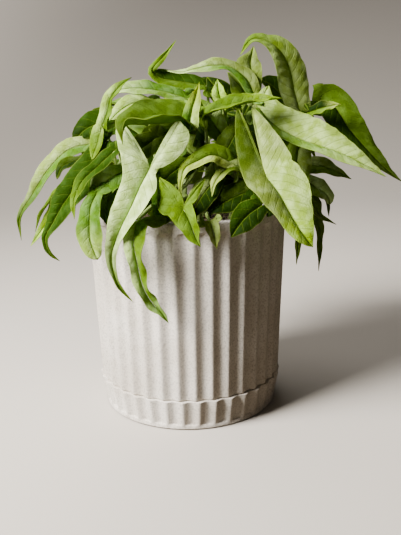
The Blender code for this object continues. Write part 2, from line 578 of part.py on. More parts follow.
    ]),
    "back_left": ((-34, 24), [
        # Leaves that arch over the back of the pot.
        arching_leaf(212, 58, 165, 20, -78, 76, 16, 6),
        arching_leaf(238, 60, 163, 10, -80, 70, 14, -6),
        arching_leaf(262, 64, 160, 5, -78, 64, 13, 5),
        arching_leaf(204, 46, 188, 30, -55, 78, 16, 5),
        arching_leaf(230, 48, 186, 25, -60, 76, 16, -5),
        arching_leaf(186, 34, 204, 40, -40, 56, 12, -5),
        arching_leaf(236, 30, 204, 40, -45, 60, 12, 5),
    ]),
}


def smooth_path(points, count):
    """count + 1 evenly spaced points on the centripetal Catmull-Rom curve through the given ones.
    The first three values are the place, and any others follow along."""
    p = np.asarray(points, float)
    p = np.vstack([2 * p[0] - p[1], p, 2 * p[-1] - p[-2]])
    fine = []
    for a, b, c, d in zip(p, p[1:], p[2:], p[3:]):
        tb = max(np.linalg.norm((b - a)[:3]), 1e-6) ** 0.5
        tc = tb + max(np.linalg.norm((c - b)[:3]), 1e-6) ** 0.5
        td = tc + max(np.linalg.norm((d - c)[:3]), 1e-6) ** 0.5
        for t in np.linspace(tb, tc, 12, endpoint=False):
            ab = (tb - t) / tb * a + t / tb * b
            bc = (tc - t) / (tc - tb) * b + (t - tb) / (tc - tb) * c
            cd = (td - t) / (td - tc) * c + (t - tc) / (td - tc) * d
            abc = (tc - t) / tc * ab + t / tc * bc
            bcd = (td - t) / (td - tb) * bc + (t - tb) / (td - tb) * cd
            fine.append((tc - t) / (tc - tb) * abc + (t - tb) / (tc - tb) * bcd)
    fine = np.array([*fine, p[-2]])
    run = np.r_[0, np.cumsum(np.linalg.norm(np.diff(fine[:, :3], axis=0), axis=1))]
    even = np.linspace(0, run[-1], count + 1)
    return np.stack([np.interp(even, run, fine[:, k]) for k in range(fine.shape[1])], axis=1)


def midrib(one, stations):
    """Places, half widths, headings, upper-side normals and right-hand directions along a leaf."""
    points = one["rib"].copy()
    points[:, 3:] **= one["roundness"]
    curve = smooth_path(points, stations)
    rib = curve[:, :3]
    width = np.clip(curve[:, 3:], 0, None) ** (1 / one["roundness"])
    width[-1] = 0
    heading = np.gradient(rib, axis=0)
    heading /= np.linalg.norm(heading, axis=1)[:, None]
    looks = np.array([unit(f) for f in one["facing"]])
    along = np.linspace(0, 1, stations + 1)
    places = np.linspace(0, 1, len(looks))
    facing = np.stack([np.interp(along, places, looks[:, k]) for k in range(3)], axis=1)
    right = np.cross(heading, facing)
    right /= np.linalg.norm(right, axis=1)[:, None]
    return rib, width, heading, np.cross(right, heading), right, along


def swell(a, blunt):
    """How wide a lobe is at the share a of its length, 1 at its widest."""
    grid = np.linspace(0, 1, 101)
    return a ** LOBE_START * (1 - a) ** blunt / (grid ** LOBE_START * (1 - grid) ** blunt).max()


def half_blade(one, side, lobe_rows, rows, columns):
    """The right (side 1) or left (side -1) half as rows of points, from the lobe's tip by the neck
    to the leaf's tip, each row running from the sinus or midrib out to the margin."""
    rib, width, heading, upper, right, along = midrib(one, rows)
    which = 0 if side > 0 else 1
    growth = FOLD_AT_NECK + (1 - FOLD_AT_NECK) * along / FOLD_FULL_AFTER
    fold = np.radians(one["folds"][which]) * np.clip(growth, 0, 1)
    width = width[:, which]
    out = side * right * np.cos(fold)[:, None] + upper * np.sin(fold)[:, None]
    normal = upper * np.cos(fold)[:, None] - side * right * np.sin(fold)[:, None]
    across = np.linspace(0, 1, columns + 1)[:, None]
    phase = 0 if side > 0 else LEFT_EDGE_PHASE
    grid = []

    shape = one["lobes"][which]
    reach = shape["tip"] - rib[0]
    lift = (reach @ normal[0]) * normal[0]
    bend = rib[0] + 0.5 * reach - LOBE_ARCH * lift
    axis = unit(reach)
    sideways = unit(side * np.cross(-axis, unit(shape["facing"] or upper[0])))
    if not shape["facing"] and sideways @ (side * right[0]) < 0:
        sideways = -sideways
    lobe_normal = unit(np.cross(axis, sideways))
    lobe_normal *= math.copysign(1, lobe_normal @ normal[0])
    for a in np.linspace(1, 0, lobe_rows + 1)[:-1]:
        middle = (1 - a) ** 2 * rib[0] + 2 * a * (1 - a) * bend + a * a * shape["tip"]
        bulge = swell(a, shape["blunt"])
        inner = middle - sideways * shape["inner"] * bulge
        outer = middle + out[0] * width[0] * (1 - a) ** LOBE_SHRINK + sideways * shape["outer"] * bulge
        wave = one["wave"] * math.sin(phase - 2 * math.pi * LOBE_TURNS * a) * across ** 2 * (1 - a)
        puff = PUFF * np.sin(math.pi * across) * (shape["inner"] + shape["outer"]) * min(1, 3 * (1 - a))
        face = unit(lobe_normal * a + normal[0] * (1 - a))
        grid.append(inner + (outer - inner) * across + face * (wave + puff))

    for k in range(rows + 1):
        swing = math.sin(2 * math.pi * one["waves"] * along[k] + phase)
        wave = one["wave"] * swing * across ** 2 * min(1, 4 * (1 - along[k]))
        puff = PUFF * width[k] * np.sin(math.pi * across)
        grid.append(rib[k] + out[k] * width[k] * across + normal[k] * (wave + puff))
    return np.array(grid)


def divisions(one):
    """Rows in each lobe, rows along the blade and columns across half of it, by the leaf's size."""
    rib = one["rib"]
    length = np.linalg.norm(np.diff(rib[:, :3], axis=0), axis=1).sum()
    reach = max(np.linalg.norm(each["tip"] - rib[0, :3]) for each in one["lobes"])
    rows = min(8, max(3, round(length / ROW_LENGTH)))
    return (3 if reach > LONG_LOBE else 2), rows, (1 if rib[:, 3:].max() < NARROW_BLADE else 2)


def make_blade(name, one):
    """Two grids, one for each half, bent to their places and thickened."""
    bm = bmesh.new()
    lobe_rows, rows, columns = divisions(one)
    for side in (1, -1):
        places = half_blade(one, side, lobe_rows, rows, columns).reshape(-1, 3)
        grid = bmesh.ops.create_grid(bm, x_segments=columns, y_segments=lobe_rows + rows)["verts"]
        for vert, place in zip(grid, places):
            vert.co = place
        if side < 0:
            turned_over = {face for vert in grid for face in vert.link_faces}
            bmesh.ops.reverse_faces(bm, faces=list(turned_over))
    bmesh.ops.remove_doubles(bm, verts=bm.verts, dist=MERGE)
    bmesh.ops.triangulate(bm, faces=bm.faces)
    blade = new_object(name, bm)
    body = blade.modifiers.new("thickness", "SOLIDIFY")
    body.thickness = BLADE_THICKNESS * MM
    body.offset = 0
    return blade


def petiole_path(one, crown):
    """From the short stem up through the plant to the leaf's neck, and a little way on under the
    midrib. A petiole whose leaf hangs outside the pot first clears the rim."""
    rib, _, heading, upper, _, _ = midrib(one, 8)
    neck = rib[0]
    foot = np.array([*crown, SOIL_TOP + 1.5])
    reach = neck - foot
    away = unit([reach[0], reach[1], 0])
    foot = foot + away * 2
    radius = math.hypot(neck[0], neck[1])
    points = [foot, foot + np.array([0, 0, 10.5]) + away * 1.5]
    if radius > RIM_CLEAR_RADIUS + 3 and neck[2] < LOW_NECK_HEIGHT:
        over = neck[:3] * RIM_CLEAR_RADIUS / radius
        over[2] = max(RIM_CLEAR_HEIGHT, min(neck[2] + 1, LOW_NECK_HEIGHT - 3))
        points.append(over)
    else:
        arrival = unit(upper[0] * 0.8 + np.array([0, 0, 0.35]) + 0.25 * heading[0])
        points.append(neck - arrival * min(ARRIVAL_LENGTH, ARRIVAL_SHARE * np.linalg.norm(reach)))
    points += [neck, neck + heading[0] * UNDER_MIDRIB - upper[0] * 0.2]
    return smooth_path(np.array(points), PETIOLE_RINGS - 1)


def make_tube(name, path, radii, resolution=0):
    """A mesh from a curve with a round section: 4 sides at resolution 0, and 8 at 2."""
    curve = bpy.data.curves.new(name, "CURVE")
    curve.dimensions = "3D"
    curve.bevel_depth = MM
    curve.bevel_resolution = resolution
    curve.use_fill_caps = True
    spline = curve.splines.new("POLY")
    spline.points.add(len(path) - 1)
    for point, place, radius in zip(spline.points, path, radii):
        point.co = (*(MM * np.asarray(place, float)), 1.0)
        point.radius = radius
    guide = bpy.data.objects.new(name + "_guide", curve)
    bpy.context.scene.collection.objects.link(guide)
    graph = bpy.context.evaluated_depsgraph_get()
    solved = bpy.data.meshes.new_from_object(guide.evaluated_get(graph))
    bpy.data.objects.remove(guide, do_unlink=True)
    bm = bmesh.new()
    bm.from_mesh(solved)
    bpy.data.meshes.remove(solved)
    bmesh.ops.scale(bm, vec=(1 / MM, 1 / MM, 1 / MM), verts=bm.verts)
    bmesh.ops.remove_doubles(bm, verts=bm.verts, dist=MERGE)
    bmesh.ops.triangulate(bm, faces=bm.faces)
    bmesh.ops.recalc_face_normals(bm, faces=bm.faces)
    return new_object(name, bm)


def fill_sealed_hollows(mesh):
    """Leaves that cross one another can seal a small hollow: only the largest shell is kept."""
    bm = bmesh.new()
    bm.from_mesh(mesh)
    seen = set()
    shells = []
    for start in bm.verts:
        if start in seen:
            continue
        seen.add(start)
        shell = [start]
        for vert in shell:
            around = [edge.other_vert(vert) for edge in vert.link_edges]
            fresh = [other for other in around if other not in seen]
            seen.update(fresh)
            shell.extend(fresh)
        shells.append(shell)
    shells.sort(key=len)
    inner = [vert for shell in shells[:-1] for vert in shell]
    bmesh.ops.delete(bm, geom=inner, context="VERTS")
    bm.to_mesh(mesh)
    bm.free()


def make_stem(name, crown, leaves, finish):
    """A short stem with all its leaves, joined into one body."""
    pieces = bpy.data.collections.new("pieces_" + name)
    bpy.context.scene.collection.children.link(pieces)
    for number, one in enumerate(leaves):
        blade = make_blade(f"blade_{number}", one)
        radii = np.linspace(PETIOLE_FOOT_RADIUS, PETIOLE_NECK_RADIUS, PETIOLE_RINGS)
        radii[-1] = PETIOLE_TIP_RADIUS
        petiole = make_tube(f"petiole_{number}", petiole_path(one, crown), radii)
        for piece in (blade, petiole):
            bpy.context.scene.collection.objects.unlink(piece)
            pieces.objects.link(piece)
    path = [(*crown, SOIL_TOP - STUB_DEPTH), (*crown, SOIL_TOP), (*crown, SOIL_TOP + STUB_HEIGHT)]
    radii = (STUB_RADIUS * STUB_TAPER, STUB_RADIUS, STUB_RADIUS * STUB_TAPER)
    stem = make_tube(name, path, radii, resolution=2)
    stem.data.materials.append(finish)
    join = stem.modifiers.new("leaves", "BOOLEAN")
    join.operation = "UNION"
    join.operand_type = "COLLECTION"
    join.collection = pieces
    join.solver = "MANIFOLD"
    apply_modifiers(stem)
    fill_sealed_hollows(stem.data)
    for piece in list(pieces.objects):
        bpy.data.objects.remove(piece, do_unlink=True)
    bpy.data.collections.remove(pieces)
    shade(stem, SHARP_LEAF)


def main():
    clear_scene()
    stoneware = material("stoneware", STONEWARE, 0.85)
    make_saucer(stoneware)
    make_pot(stoneware)
    make_soil(material("potting_soil", SOIL_BROWN, 0.95))
    for number, (name, (crown, leaves)) in enumerate(STEMS.items()):
        finish = material("leaf_" + name, GREENS[number % len(GREENS)], 0.5)
        make_stem("stem_" + name, crown, leaves, finish)


main()
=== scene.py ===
# %% [markdown]
# # An arrowhead plant in a fluted stoneware pot
#
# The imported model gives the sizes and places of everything: a saucer, a pot, a plug of soil and ten
# leafy stems. This script puts finer pieces in their places and gives each one its finish. All
# lengths below are in millimetres, because leaves and flutes are easier to think of that way, and
# MM turns them into Blender's metres where a mesh is made.

# %% Load the frame
import math
from types import SimpleNamespace

import bmesh
import bpy
import numpy as np
from mathutils import Euler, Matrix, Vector, noise


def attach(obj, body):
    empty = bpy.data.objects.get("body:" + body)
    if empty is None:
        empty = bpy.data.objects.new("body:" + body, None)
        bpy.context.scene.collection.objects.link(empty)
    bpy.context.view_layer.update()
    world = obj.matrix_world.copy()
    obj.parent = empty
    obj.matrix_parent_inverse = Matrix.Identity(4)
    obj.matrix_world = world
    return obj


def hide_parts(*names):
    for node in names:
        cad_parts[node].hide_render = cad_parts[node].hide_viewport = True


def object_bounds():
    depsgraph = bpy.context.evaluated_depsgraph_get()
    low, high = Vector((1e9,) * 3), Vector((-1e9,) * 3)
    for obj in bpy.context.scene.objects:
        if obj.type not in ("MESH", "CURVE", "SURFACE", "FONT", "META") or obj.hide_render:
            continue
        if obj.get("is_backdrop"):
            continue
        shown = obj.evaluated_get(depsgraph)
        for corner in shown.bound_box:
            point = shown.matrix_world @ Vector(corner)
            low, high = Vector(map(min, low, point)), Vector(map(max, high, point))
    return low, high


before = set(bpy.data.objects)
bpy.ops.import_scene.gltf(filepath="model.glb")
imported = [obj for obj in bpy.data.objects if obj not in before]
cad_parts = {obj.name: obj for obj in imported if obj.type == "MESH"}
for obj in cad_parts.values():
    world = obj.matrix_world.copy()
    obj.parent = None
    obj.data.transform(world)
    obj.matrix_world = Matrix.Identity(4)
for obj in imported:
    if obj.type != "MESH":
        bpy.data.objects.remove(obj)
cad_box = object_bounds()
MM = 0.001
print("nodes:", ", ".join(sorted(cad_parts)))

# %% [markdown]
# ## Helpers
#
# Every piece below is built as a bmesh in millimetres and becomes one mesh, and every finish is a
# chain of shader nodes. These short functions take up what the steps share, so that each step says
# only what is special about its piece.


# %% Helpers for objects and meshes
def new_object(name, data):
    """An object at the origin, linked into the scene."""
    made = bpy.data.objects.new(name, data)
    bpy.context.scene.collection.objects.link(made)
    return made


def extrude(bm, edges):
    """Extrudes edges on the spot. Gives back the new vertices, the new edges that copy the old ones,
    and the new faces between."""
    made = bmesh.ops.extrude_edge_only(bm, edges=edges)["geom"]
    verts = [item for item in made if isinstance(item, bmesh.types.BMVert)]
    copied = set(verts)
    edges = [item for item in made
             if isinstance(item, bmesh.types.BMEdge) and copied.issuperset(item.verts)]
    return verts, edges, [item for item in made if isinstance(item, bmesh.types.BMFace)]


def mesh_from(name, bm, materials):
    """A smooth mesh in metres from a bmesh in millimetres, which is used up."""
    bmesh.ops.scale(bm, vec=(MM, MM, MM), verts=bm.verts)
    mesh = bpy.data.meshes.new(name)
    bm.to_mesh(mesh)
    bm.free()
    for material in materials:
        mesh.materials.append(material)
    mesh.shade_smooth()
    return mesh


def finished(name, bm, materials, sharp_over=30):
    """An object from a bmesh in millimetres, which moves with the whole object."""
    mesh = mesh_from(name, bm, materials)
    mesh.set_sharp_from_angle(angle=math.radians(sharp_over))
    made = new_object(name, mesh)
    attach(made, "root")
    print(name, "has", len(mesh.polygons), "faces")
    return made


# %% Helpers for materials
def srgb(red, green, blue):
    """A colour from 0 to 255 as it looks on a screen, turned into Blender's linear values."""
    shares = [value / 255 for value in (red, green, blue)]
    linear = [s / 12.92 if s < 0.04045 else ((s + 0.055) / 1.055) ** 2.4 for s in shares]
    return (*linear, 1.0)


def new_material(name):
    """A material, its node tree and its Principled shader."""
    made = bpy.data.materials.new(name)
    made.use_nodes = True
    return made, made.node_tree, made.node_tree.nodes["Principled BSDF"]


def add(tree, kind, **settings):
    """A node of one kind with its settings."""
    node = tree.nodes.new(kind)
    for name, value in settings.items():
        setattr(node, name, value)
    return node


def feed(tree, node, values):
    """Fills a node's inputs, in turn or by name or number, from other sockets or with plain values."""
    for key, value in values.items() if isinstance(values, dict) else enumerate(values):
        if isinstance(value, bpy.types.NodeSocket):
            tree.links.new(value, node.inputs[key])
        else:
            node.inputs[key].default_value = value


def calculate(tree, operation, *values):
    """The result of a Math node on numbers or sockets."""
    node = add(tree, "ShaderNodeMath", operation=operation)
    feed(tree, node, values)
    return node.outputs[0]


def fade(tree, value, low, high, at_low=1.0, at_high=0.0):
    """A smooth step from at_low to at_high as value goes from low to high."""
    node = add(tree, "ShaderNodeMapRange", interpolation_type="SMOOTHSTEP")
    feed(tree, node, (value, low, high, at_low, at_high))
    return node.outputs["Result"]


def blend_colours(tree, share, under, over):
    """A mix of two colours, in which over has the given share."""
    node = add(tree, "ShaderNodeMix", data_type="RGBA")
    feed(tree, node, {0: share, 6: under, 7: over})
    return node.outputs[2]


def speckle(tree, coordinates, scale, detail=2.0, kind="Noise"):
    """A Noise or Voronoi texture on the given coordinates."""
    node = add(tree, "ShaderNodeTex" + kind)
    feed(tree, node, {"Vector": coordinates, "Scale": scale, "Detail": detail})
    return node


def bump(tree, height, distance, strength):
    """A normal raised by height, in metres of relief."""
    node = add(tree, "ShaderNodeBump")
    feed(tree, node, {"Strength": strength, "Distance": distance, "Height": height})
    return node.outputs["Normal"]


def coat(tree, shader, colour, roughness, normal):
    """Gives a Principled shader its colour, roughness and normal."""
    feed(tree, shader, {"Base Color": colour, "Roughness": roughness, "Normal": normal})


def object_place(tree):
    """Where a point lies on its object, in metres."""
    return add(tree, "ShaderNodeTexCoord").outputs["Object"]


# %% [markdown]
# ## Camera, floor and light
#
# The camera stands where the photograph was taken from: a little over half a metre away, above the
# rim and looking down at the pot. It could be aimed with a constraint, but three plain angles keep
# the picture fixed. The plant is lit as by a window: one soft lamp from the left, which leaves the
# right side of the pot in shade, a faint one high up behind, and one for the backdrop alone. The
# floor is a wide pale sheet that bends up into a backdrop far behind, so no horizon shows. The table
# in the photograph is brown and throws little light back, so the floor is darker for bounced light.

# %% Camera
CAMERA_PLACE = Vector((0.0, -541.0, 257.3)) * MM
TILT_DOWN, TURN_RIGHT, ROLL = 16.4, 0.965, 1.11
LENS, SENSOR = 52.0, 36.0

camera_data = bpy.data.cameras.new("camera")
camera_data.lens = LENS
camera_data.sensor_width = SENSOR
camera = new_object("camera", camera_data)
camera.location = CAMERA_PLACE
aim = Euler((math.radians(90 - TILT_DOWN), 0, math.radians(-TURN_RIGHT))).to_matrix()
camera.rotation_euler = (aim @ Euler((0, 0, math.radians(-ROLL))).to_matrix()).to_euler()
bpy.context.scene.camera = camera
print("camera at", [round(value, 3) for value in camera.location])

# %% Floor and backdrop
FLOOR_COLOUR = srgb(196, 188, 178)
FLOOR_BOUNCE = srgb(84, 74, 60)
FLOOR_ROUGHNESS = 0.9
FLOOR_HALF_WIDTH, FLOOR_FRONT, FLOOR_BACK = 2600, -1500, 700
SWEEP_RADIUS, SWEEP_STEPS, WALL_HEIGHT = 1100, 24, 1200

floor_material, tree, shader = new_material("floor")
seen = add(tree, "ShaderNodeLightPath").outputs["Is Camera Ray"]
floor_colour = blend_colours(tree, seen, FLOOR_BOUNCE, FLOOR_COLOUR)
feed(tree, shader, {"Base Color": floor_colour, "Roughness": FLOOR_ROUGHNESS})

stride = SWEEP_RADIUS * math.radians(90) / SWEEP_STEPS
turns = [math.radians(90 * (step + 0.5) / SWEEP_STEPS) for step in range(SWEEP_STEPS)]
moves = [(0, FLOOR_BACK - FLOOR_FRONT, 0)]
moves += [(0, stride * math.cos(turn), stride * math.sin(turn)) for turn in turns]
moves += [(0, 0, WALL_HEIGHT)]
bm = bmesh.new()
front = [bm.verts.new((side * FLOOR_HALF_WIDTH, FLOOR_FRONT, 0)) for side in (-1, 1)]
edges = [bm.edges.new(front)]
for move in moves:
    verts, edges, _ = extrude(bm, edges)
    bmesh.ops.translate(bm, verts=verts, vec=move)
bmesh.ops.recalc_face_normals(bm, faces=bm.faces)
floor = new_object("floor", mesh_from("floor", bm, [floor_material]))
floor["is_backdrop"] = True
print("floor faces:", len(floor.data.polygons))

# %% Light
PLANT = (0, 0, 150)
FAR_WALL = (-700, 2200, 500)
LAMPS = {
    "window": {"place": (-880, -500, 820), "aim": PLANT, "size": 600, "power": 17, "spread": 80},
    "sky": {"place": (-150, 500, 950), "aim": PLANT, "size": 800, "power": 5, "spread": 180},
    "backdrop": {"place": (-1100, 700, 700), "aim": FAR_WALL, "size": 900, "power": 14, "spread": 160},
}
LAMP_COLOUR = (1.0, 0.98, 0.94)
ROOM_LIGHT = srgb(178, 170, 162)
ROOM_STRENGTH = 0.12


def soft_lamp(name, place, aim, size, power, spread):
    """A round area lamp that shines from place towards aim."""
    data = bpy.data.lights.new(name, "AREA")
    data.shape = "DISK"
    data.size = size * MM
    data.energy = power
    data.spread = math.radians(spread)
    data.color = LAMP_COLOUR
    lamp = new_object(name, data)
    lamp.location = Vector(place) * MM
    lamp.rotation_euler = (Vector(place) - Vector(aim)).to_track_quat("Z", "Y").to_euler()


for name, settings in LAMPS.items():
    soft_lamp(name, **settings)
world = bpy.data.worlds.new("room")
world.use_nodes = True
tree = world.node_tree
feed(tree, tree.nodes["Background"], {"Color": ROOM_LIGHT, "Strength": ROOM_STRENGTH})
bpy.context.scene.world = world
print("lamps:", ", ".join(f"{name} {settings['power']} W" for name, settings in LAMPS.items()))

# %% [markdown]
# ## Pot and saucer
#
# The pot is thrown stoneware with 36 hollow flutes, and the saucer repeats them, turned by two
# degrees. A Boolean could carve the flutes out of a plain wall, but it would leave long thin faces.
# Here a circle is extruded from ring to ring up the outside and down the inside, and each ring is
# hollowed between its ridges by one formula, so the flutes run out smoothly under the plain rim.

# %% Sizes of pot and saucer
FLUTES = 36
STEPS_PER_FLUTE = 14
FLUTE_DEPTH = 1.9
FLUTE_SHAPE = 1.5
POT_RIDGE_AT = -37.1
SAUCER_RIDGE_AT = POT_RIDGE_AT + 2.0
CLEARANCE = 0.3

SAUCER_HEIGHT = 22.5
SAUCER_BASE_RADIUS = 61.6
SAUCER_LIP_RADIUS = 63.2
SAUCER_LIP_HEIGHT = 2.6
SAUCER_TOP_RADIUS = 67.0
SAUCER_FLOOR = 4.0
SAUCER_INNER_FLOOR_RADIUS = 58.8
SAUCER_INNER_TOP_RADIUS = 60.3
SAUCER_FLUTE_START = 3.2
SAUCER_FLUTE_RUN_IN = 1.6
SAUCER_CREST_ROUND = 0.8
SAUCER_INNER_ROUND = 1.0

POT_HEIGHT = 147.5
POT_BOTTOM = SAUCER_FLOOR + CLEARANCE
POT_SHOULDER = SAUCER_HEIGHT + 0.5
POT_FOOT_RADIUS = 58.0
POT_FOOT_TOP_RADIUS = 59.4
POT_FOOT_CHAMFER = 1
POT_SHOULDER_RADIUS = 65.8
POT_SHOULDER_ROUND = 0.7
POT_TOP_RADIUS = 70.4
POT_RIM_ROUND = 1.6
POT_RINGS = (55.0, 90.0, 120.0)
RIM_BAND = 6.5
FLUTE_FADE = 4.0
FLUTE_ARCH = 0.5
POT_INNER_TOP_RADIUS = 64.6
POT_INNER_FLOOR_RADIUS = 53.5
POT_FLOOR = POT_BOTTOM + 6.5
DRAIN_RADIUS = 5.0
print("pot", 2 * POT_TOP_RADIUS, "mm across and", POT_HEIGHT, "mm high with its saucer")


# %% A wall from rings
def hollow_at(turn):
    """0 on a ridge and 1 in the middle of a flute, for an angle in degrees from a ridge."""
    return abs(math.sin(math.pi * turn * FLUTES / 360.0)) ** FLUTE_SHAPE


def turned(profile, ridge_at, closed, count=FLUTES * STEPS_PER_FLUTE):
    """A bmesh extruded from ring to ring. profile lists (z, radius, depth), where depth is a number
    or a function of how far into a flute a column is. Rings of no depth stay round."""
    bm = bmesh.new()
    column = bm.verts.layers.int.new("column")
    verts = bmesh.ops.create_circle(bm, segments=count, radius=1.0)["verts"]
    for number, vert in enumerate(verts):
        vert[column] = number
    edges = bm.edges[:]

    def settle(z, radius, depth):
        for vert in verts:
            turn = 360.0 * vert[column] / count
            hollow = hollow_at(turn)
            r = radius - (depth(hollow) if callable(depth) else depth * hollow)
            angle = math.radians(ridge_at + turn)
            vert.co = (r * math.sin(angle), -r * math.cos(angle), z)

    settle(*profile[0])
    if not closed:
        bmesh.ops.contextual_create(bm, geom=edges)
    for place in profile[1:] + profile[:1] * closed:
        verts, edges, _ = extrude(bm, edges)
        settle(*place)
    if not closed:
        bmesh.ops.contextual_create(bm, geom=edges)
    bmesh.ops.remove_doubles(bm, verts=bm.verts, dist=0.001)
    bmesh.ops.recalc_face_normals(bm, faces=bm.faces)
    return bm


def rings(points, depth=0.0):
    """Rings of one flute depth from (z, radius) points."""
    return [(z, radius, depth) for z, radius in points]


def round_corner(corner, before, after, radius, steps=4):
    """Points on a rounded corner of a profile of (z, radius) points."""
    corner, before, after = (Vector(point) for point in (corner, before, after))
    start = corner + (before - corner).normalized() * radius
    end = corner + (after - corner).normalized() * radius
    shares = [step / steps for step in range(steps + 1)]
    return [tuple(start * (1 - t) ** 2 + corner * 2 * t * (1 - t) + end * t ** 2) for t in shares]


# %% [markdown]
# The stoneware is unglazed and sandy: a warm grey-beige body with fine dark specks, faint clouds
# from the kiln, and a surface like fine sandpaper. Pot and saucer share it, so it is one material.
# The clouds and specks come from noise on Object coordinates, in metres.

# %% Stoneware
CLAY = srgb(222, 214, 202)
CLAY_CLOUD = srgb(206, 196, 182)
CLAY_SPECK = srgb(84, 72, 58)
CLOUD_SCALE, GRAIN_SCALE, SPECK_SCALE, SPECK_PATCH_SCALE = 28.0, 800.0, 480.0, 330.0
SAND_SHARE, SPECK_SHARE = 0.34, 0.85
GRAIN_RELIEF, GRAIN_STRENGTH = 0.0005, 0.45
CLAY_ROUGHNESS = 0.88

stoneware, tree, shader = new_material("stoneware")
place = object_place(tree)
clouds = speckle(tree, place, CLOUD_SCALE, 4.0).outputs["Fac"]
grain = speckle(tree, place, GRAIN_SCALE, 3.0).outputs["Fac"]
specks = speckle(tree, place, SPECK_SCALE, kind="Voronoi").outputs["Distance"]
speck_patches = speckle(tree, place, SPECK_PATCH_SCALE, 1.0).outputs["Fac"]
colour = blend_colours(tree, fade(tree, clouds, 0.35, 0.65, 0.0, 1.0), CLAY, CLAY_CLOUD)
sand = fade(tree, grain, 0.42, 0.7, 0.0, SAND_SHARE)
colour = blend_colours(tree, sand, colour, CLAY_SPECK)
dots = calculate(tree, "MULTIPLY", fade(tree, specks, 0.18, 0.34),
                 fade(tree, speck_patches, 0.5, 0.58, 0.0, SPECK_SHARE))
colour = blend_colours(tree, dots, colour, CLAY_SPECK)
coat(tree, shader, colour, CLAY_ROUGHNESS, bump(tree, grain, GRAIN_RELIEF, GRAIN_STRENGTH))
print("stoneware has", len(tree.nodes), "nodes")

# %% Saucer
SAUCER_LEAN = (SAUCER_TOP_RADIUS - SAUCER_LIP_RADIUS) / (SAUCER_HEIGHT - SAUCER_LIP_HEIGHT)
RUN_IN_STEPS = 5


def saucer_wall(z):
    return SAUCER_LIP_RADIUS + SAUCER_LEAN * max(0.0, z - SAUCER_LIP_HEIGHT)


saucer_profile = rings([(0.0, SAUCER_BASE_RADIUS), (0.4, SAUCER_BASE_RADIUS + 0.9),
                        (1.3, SAUCER_LIP_RADIUS), (SAUCER_LIP_HEIGHT, SAUCER_LIP_RADIUS)])
for step in range(1, RUN_IN_STEPS + 1):
    z = SAUCER_FLUTE_START + SAUCER_FLUTE_RUN_IN * step / RUN_IN_STEPS
    depth = FLUTE_DEPTH * math.sin(math.pi / 2 * step / RUN_IN_STEPS)
    saucer_profile.append((z, saucer_wall(z), depth))
top, foot, middle = (SAUCER_HEIGHT, SAUCER_TOP_RADIUS), (0, saucer_wall(0)), (SAUCER_HEIGHT, 0)
inner_top = (SAUCER_HEIGHT, SAUCER_INNER_TOP_RADIUS)
inner_floor = (SAUCER_FLOOR, SAUCER_INNER_FLOOR_RADIUS)
saucer_profile += rings(round_corner(top, foot, middle, SAUCER_CREST_ROUND), FLUTE_DEPTH)
saucer_profile += rings(round_corner(inner_top, (SAUCER_HEIGHT, 70), inner_floor, SAUCER_INNER_ROUND))
saucer_profile += rings(round_corner(inner_floor, inner_top, (SAUCER_FLOOR, 0), SAUCER_INNER_ROUND))
saucer = finished("saucer_fluted", turned(saucer_profile, SAUCER_RIDGE_AT, closed=False), [stoneware])
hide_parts("saucer")

# %% Pot
POT_LEAN = (POT_TOP_RADIUS - POT_SHOULDER_RADIUS) / (POT_HEIGHT - POT_SHOULDER)
BAND_AT = POT_HEIGHT - RIM_BAND
RUN_OUT_STEPS = 8
RIM_STEPS = 6


def pot_wall(z):
    return POT_SHOULDER_RADIUS + POT_LEAN * (z - POT_SHOULDER)


def running_out(z):
    """The depth function of a ring near the top of the flutes, where each ends in a round arch."""
    def depth(hollow):
        arch_top = BAND_AT - FLUTE_FADE * FLUTE_ARCH * (1 - hollow)
        left = max(0.0, min(1.0, (arch_top - z) / FLUTE_FADE))
        return FLUTE_DEPTH * hollow * math.sqrt(1 - (1 - left) ** 2)
    return depth


pot_profile = rings([(POT_BOTTOM, DRAIN_RADIUS), (POT_BOTTOM, POT_FOOT_RADIUS - POT_FOOT_CHAMFER),
                     (POT_BOTTOM + POT_FOOT_CHAMFER, POT_FOOT_RADIUS),
                     (POT_SHOULDER, POT_FOOT_TOP_RADIUS)])
rim, inner_rim = (POT_HEIGHT, POT_TOP_RADIUS), (POT_HEIGHT, POT_INNER_TOP_RADIUS)
inner_floor = (POT_FLOOR, POT_INNER_FLOOR_RADIUS)
shoulder = round_corner((POT_SHOULDER, POT_SHOULDER_RADIUS), (POT_SHOULDER, 0), rim, POT_SHOULDER_ROUND)
pot_profile += rings(shoulder, FLUTE_DEPTH)
pot_profile += [(z, pot_wall(z), FLUTE_DEPTH) for z in (*POT_RINGS, BAND_AT - FLUTE_FADE - 2.5)]
for step in range(RUN_OUT_STEPS + 1):
    z = BAND_AT - (FLUTE_FADE + 2.0) * (1 - step / RUN_OUT_STEPS)
    pot_profile.append((z, pot_wall(z), running_out(z)))
pot_profile += rings(round_corner(rim, (0, pot_wall(0)), (POT_HEIGHT, 0), POT_RIM_ROUND, RIM_STEPS))
pot_profile += rings(round_corner(inner_rim, (POT_HEIGHT, 80), inner_floor, POT_RIM_ROUND, RIM_STEPS))
pot_profile += rings([inner_floor, (POT_FLOOR, DRAIN_RADIUS)])
pot = finished("pot_fluted", turned(pot_profile, POT_RIDGE_AT, closed=True), [stoneware])
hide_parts("pot")

# %% [markdown]
# ## Soil
#
# The soil fills the pot to a finger's width under the rim and hardly shows between the leaves. A
# bump map alone would look like painted card from above, so the top is a set of rings pushed up and
# down by noise, and a few hundred crumbs lie on it. A crumb is an icosphere of twenty faces, turned
# and squashed at random from a fixed seed.

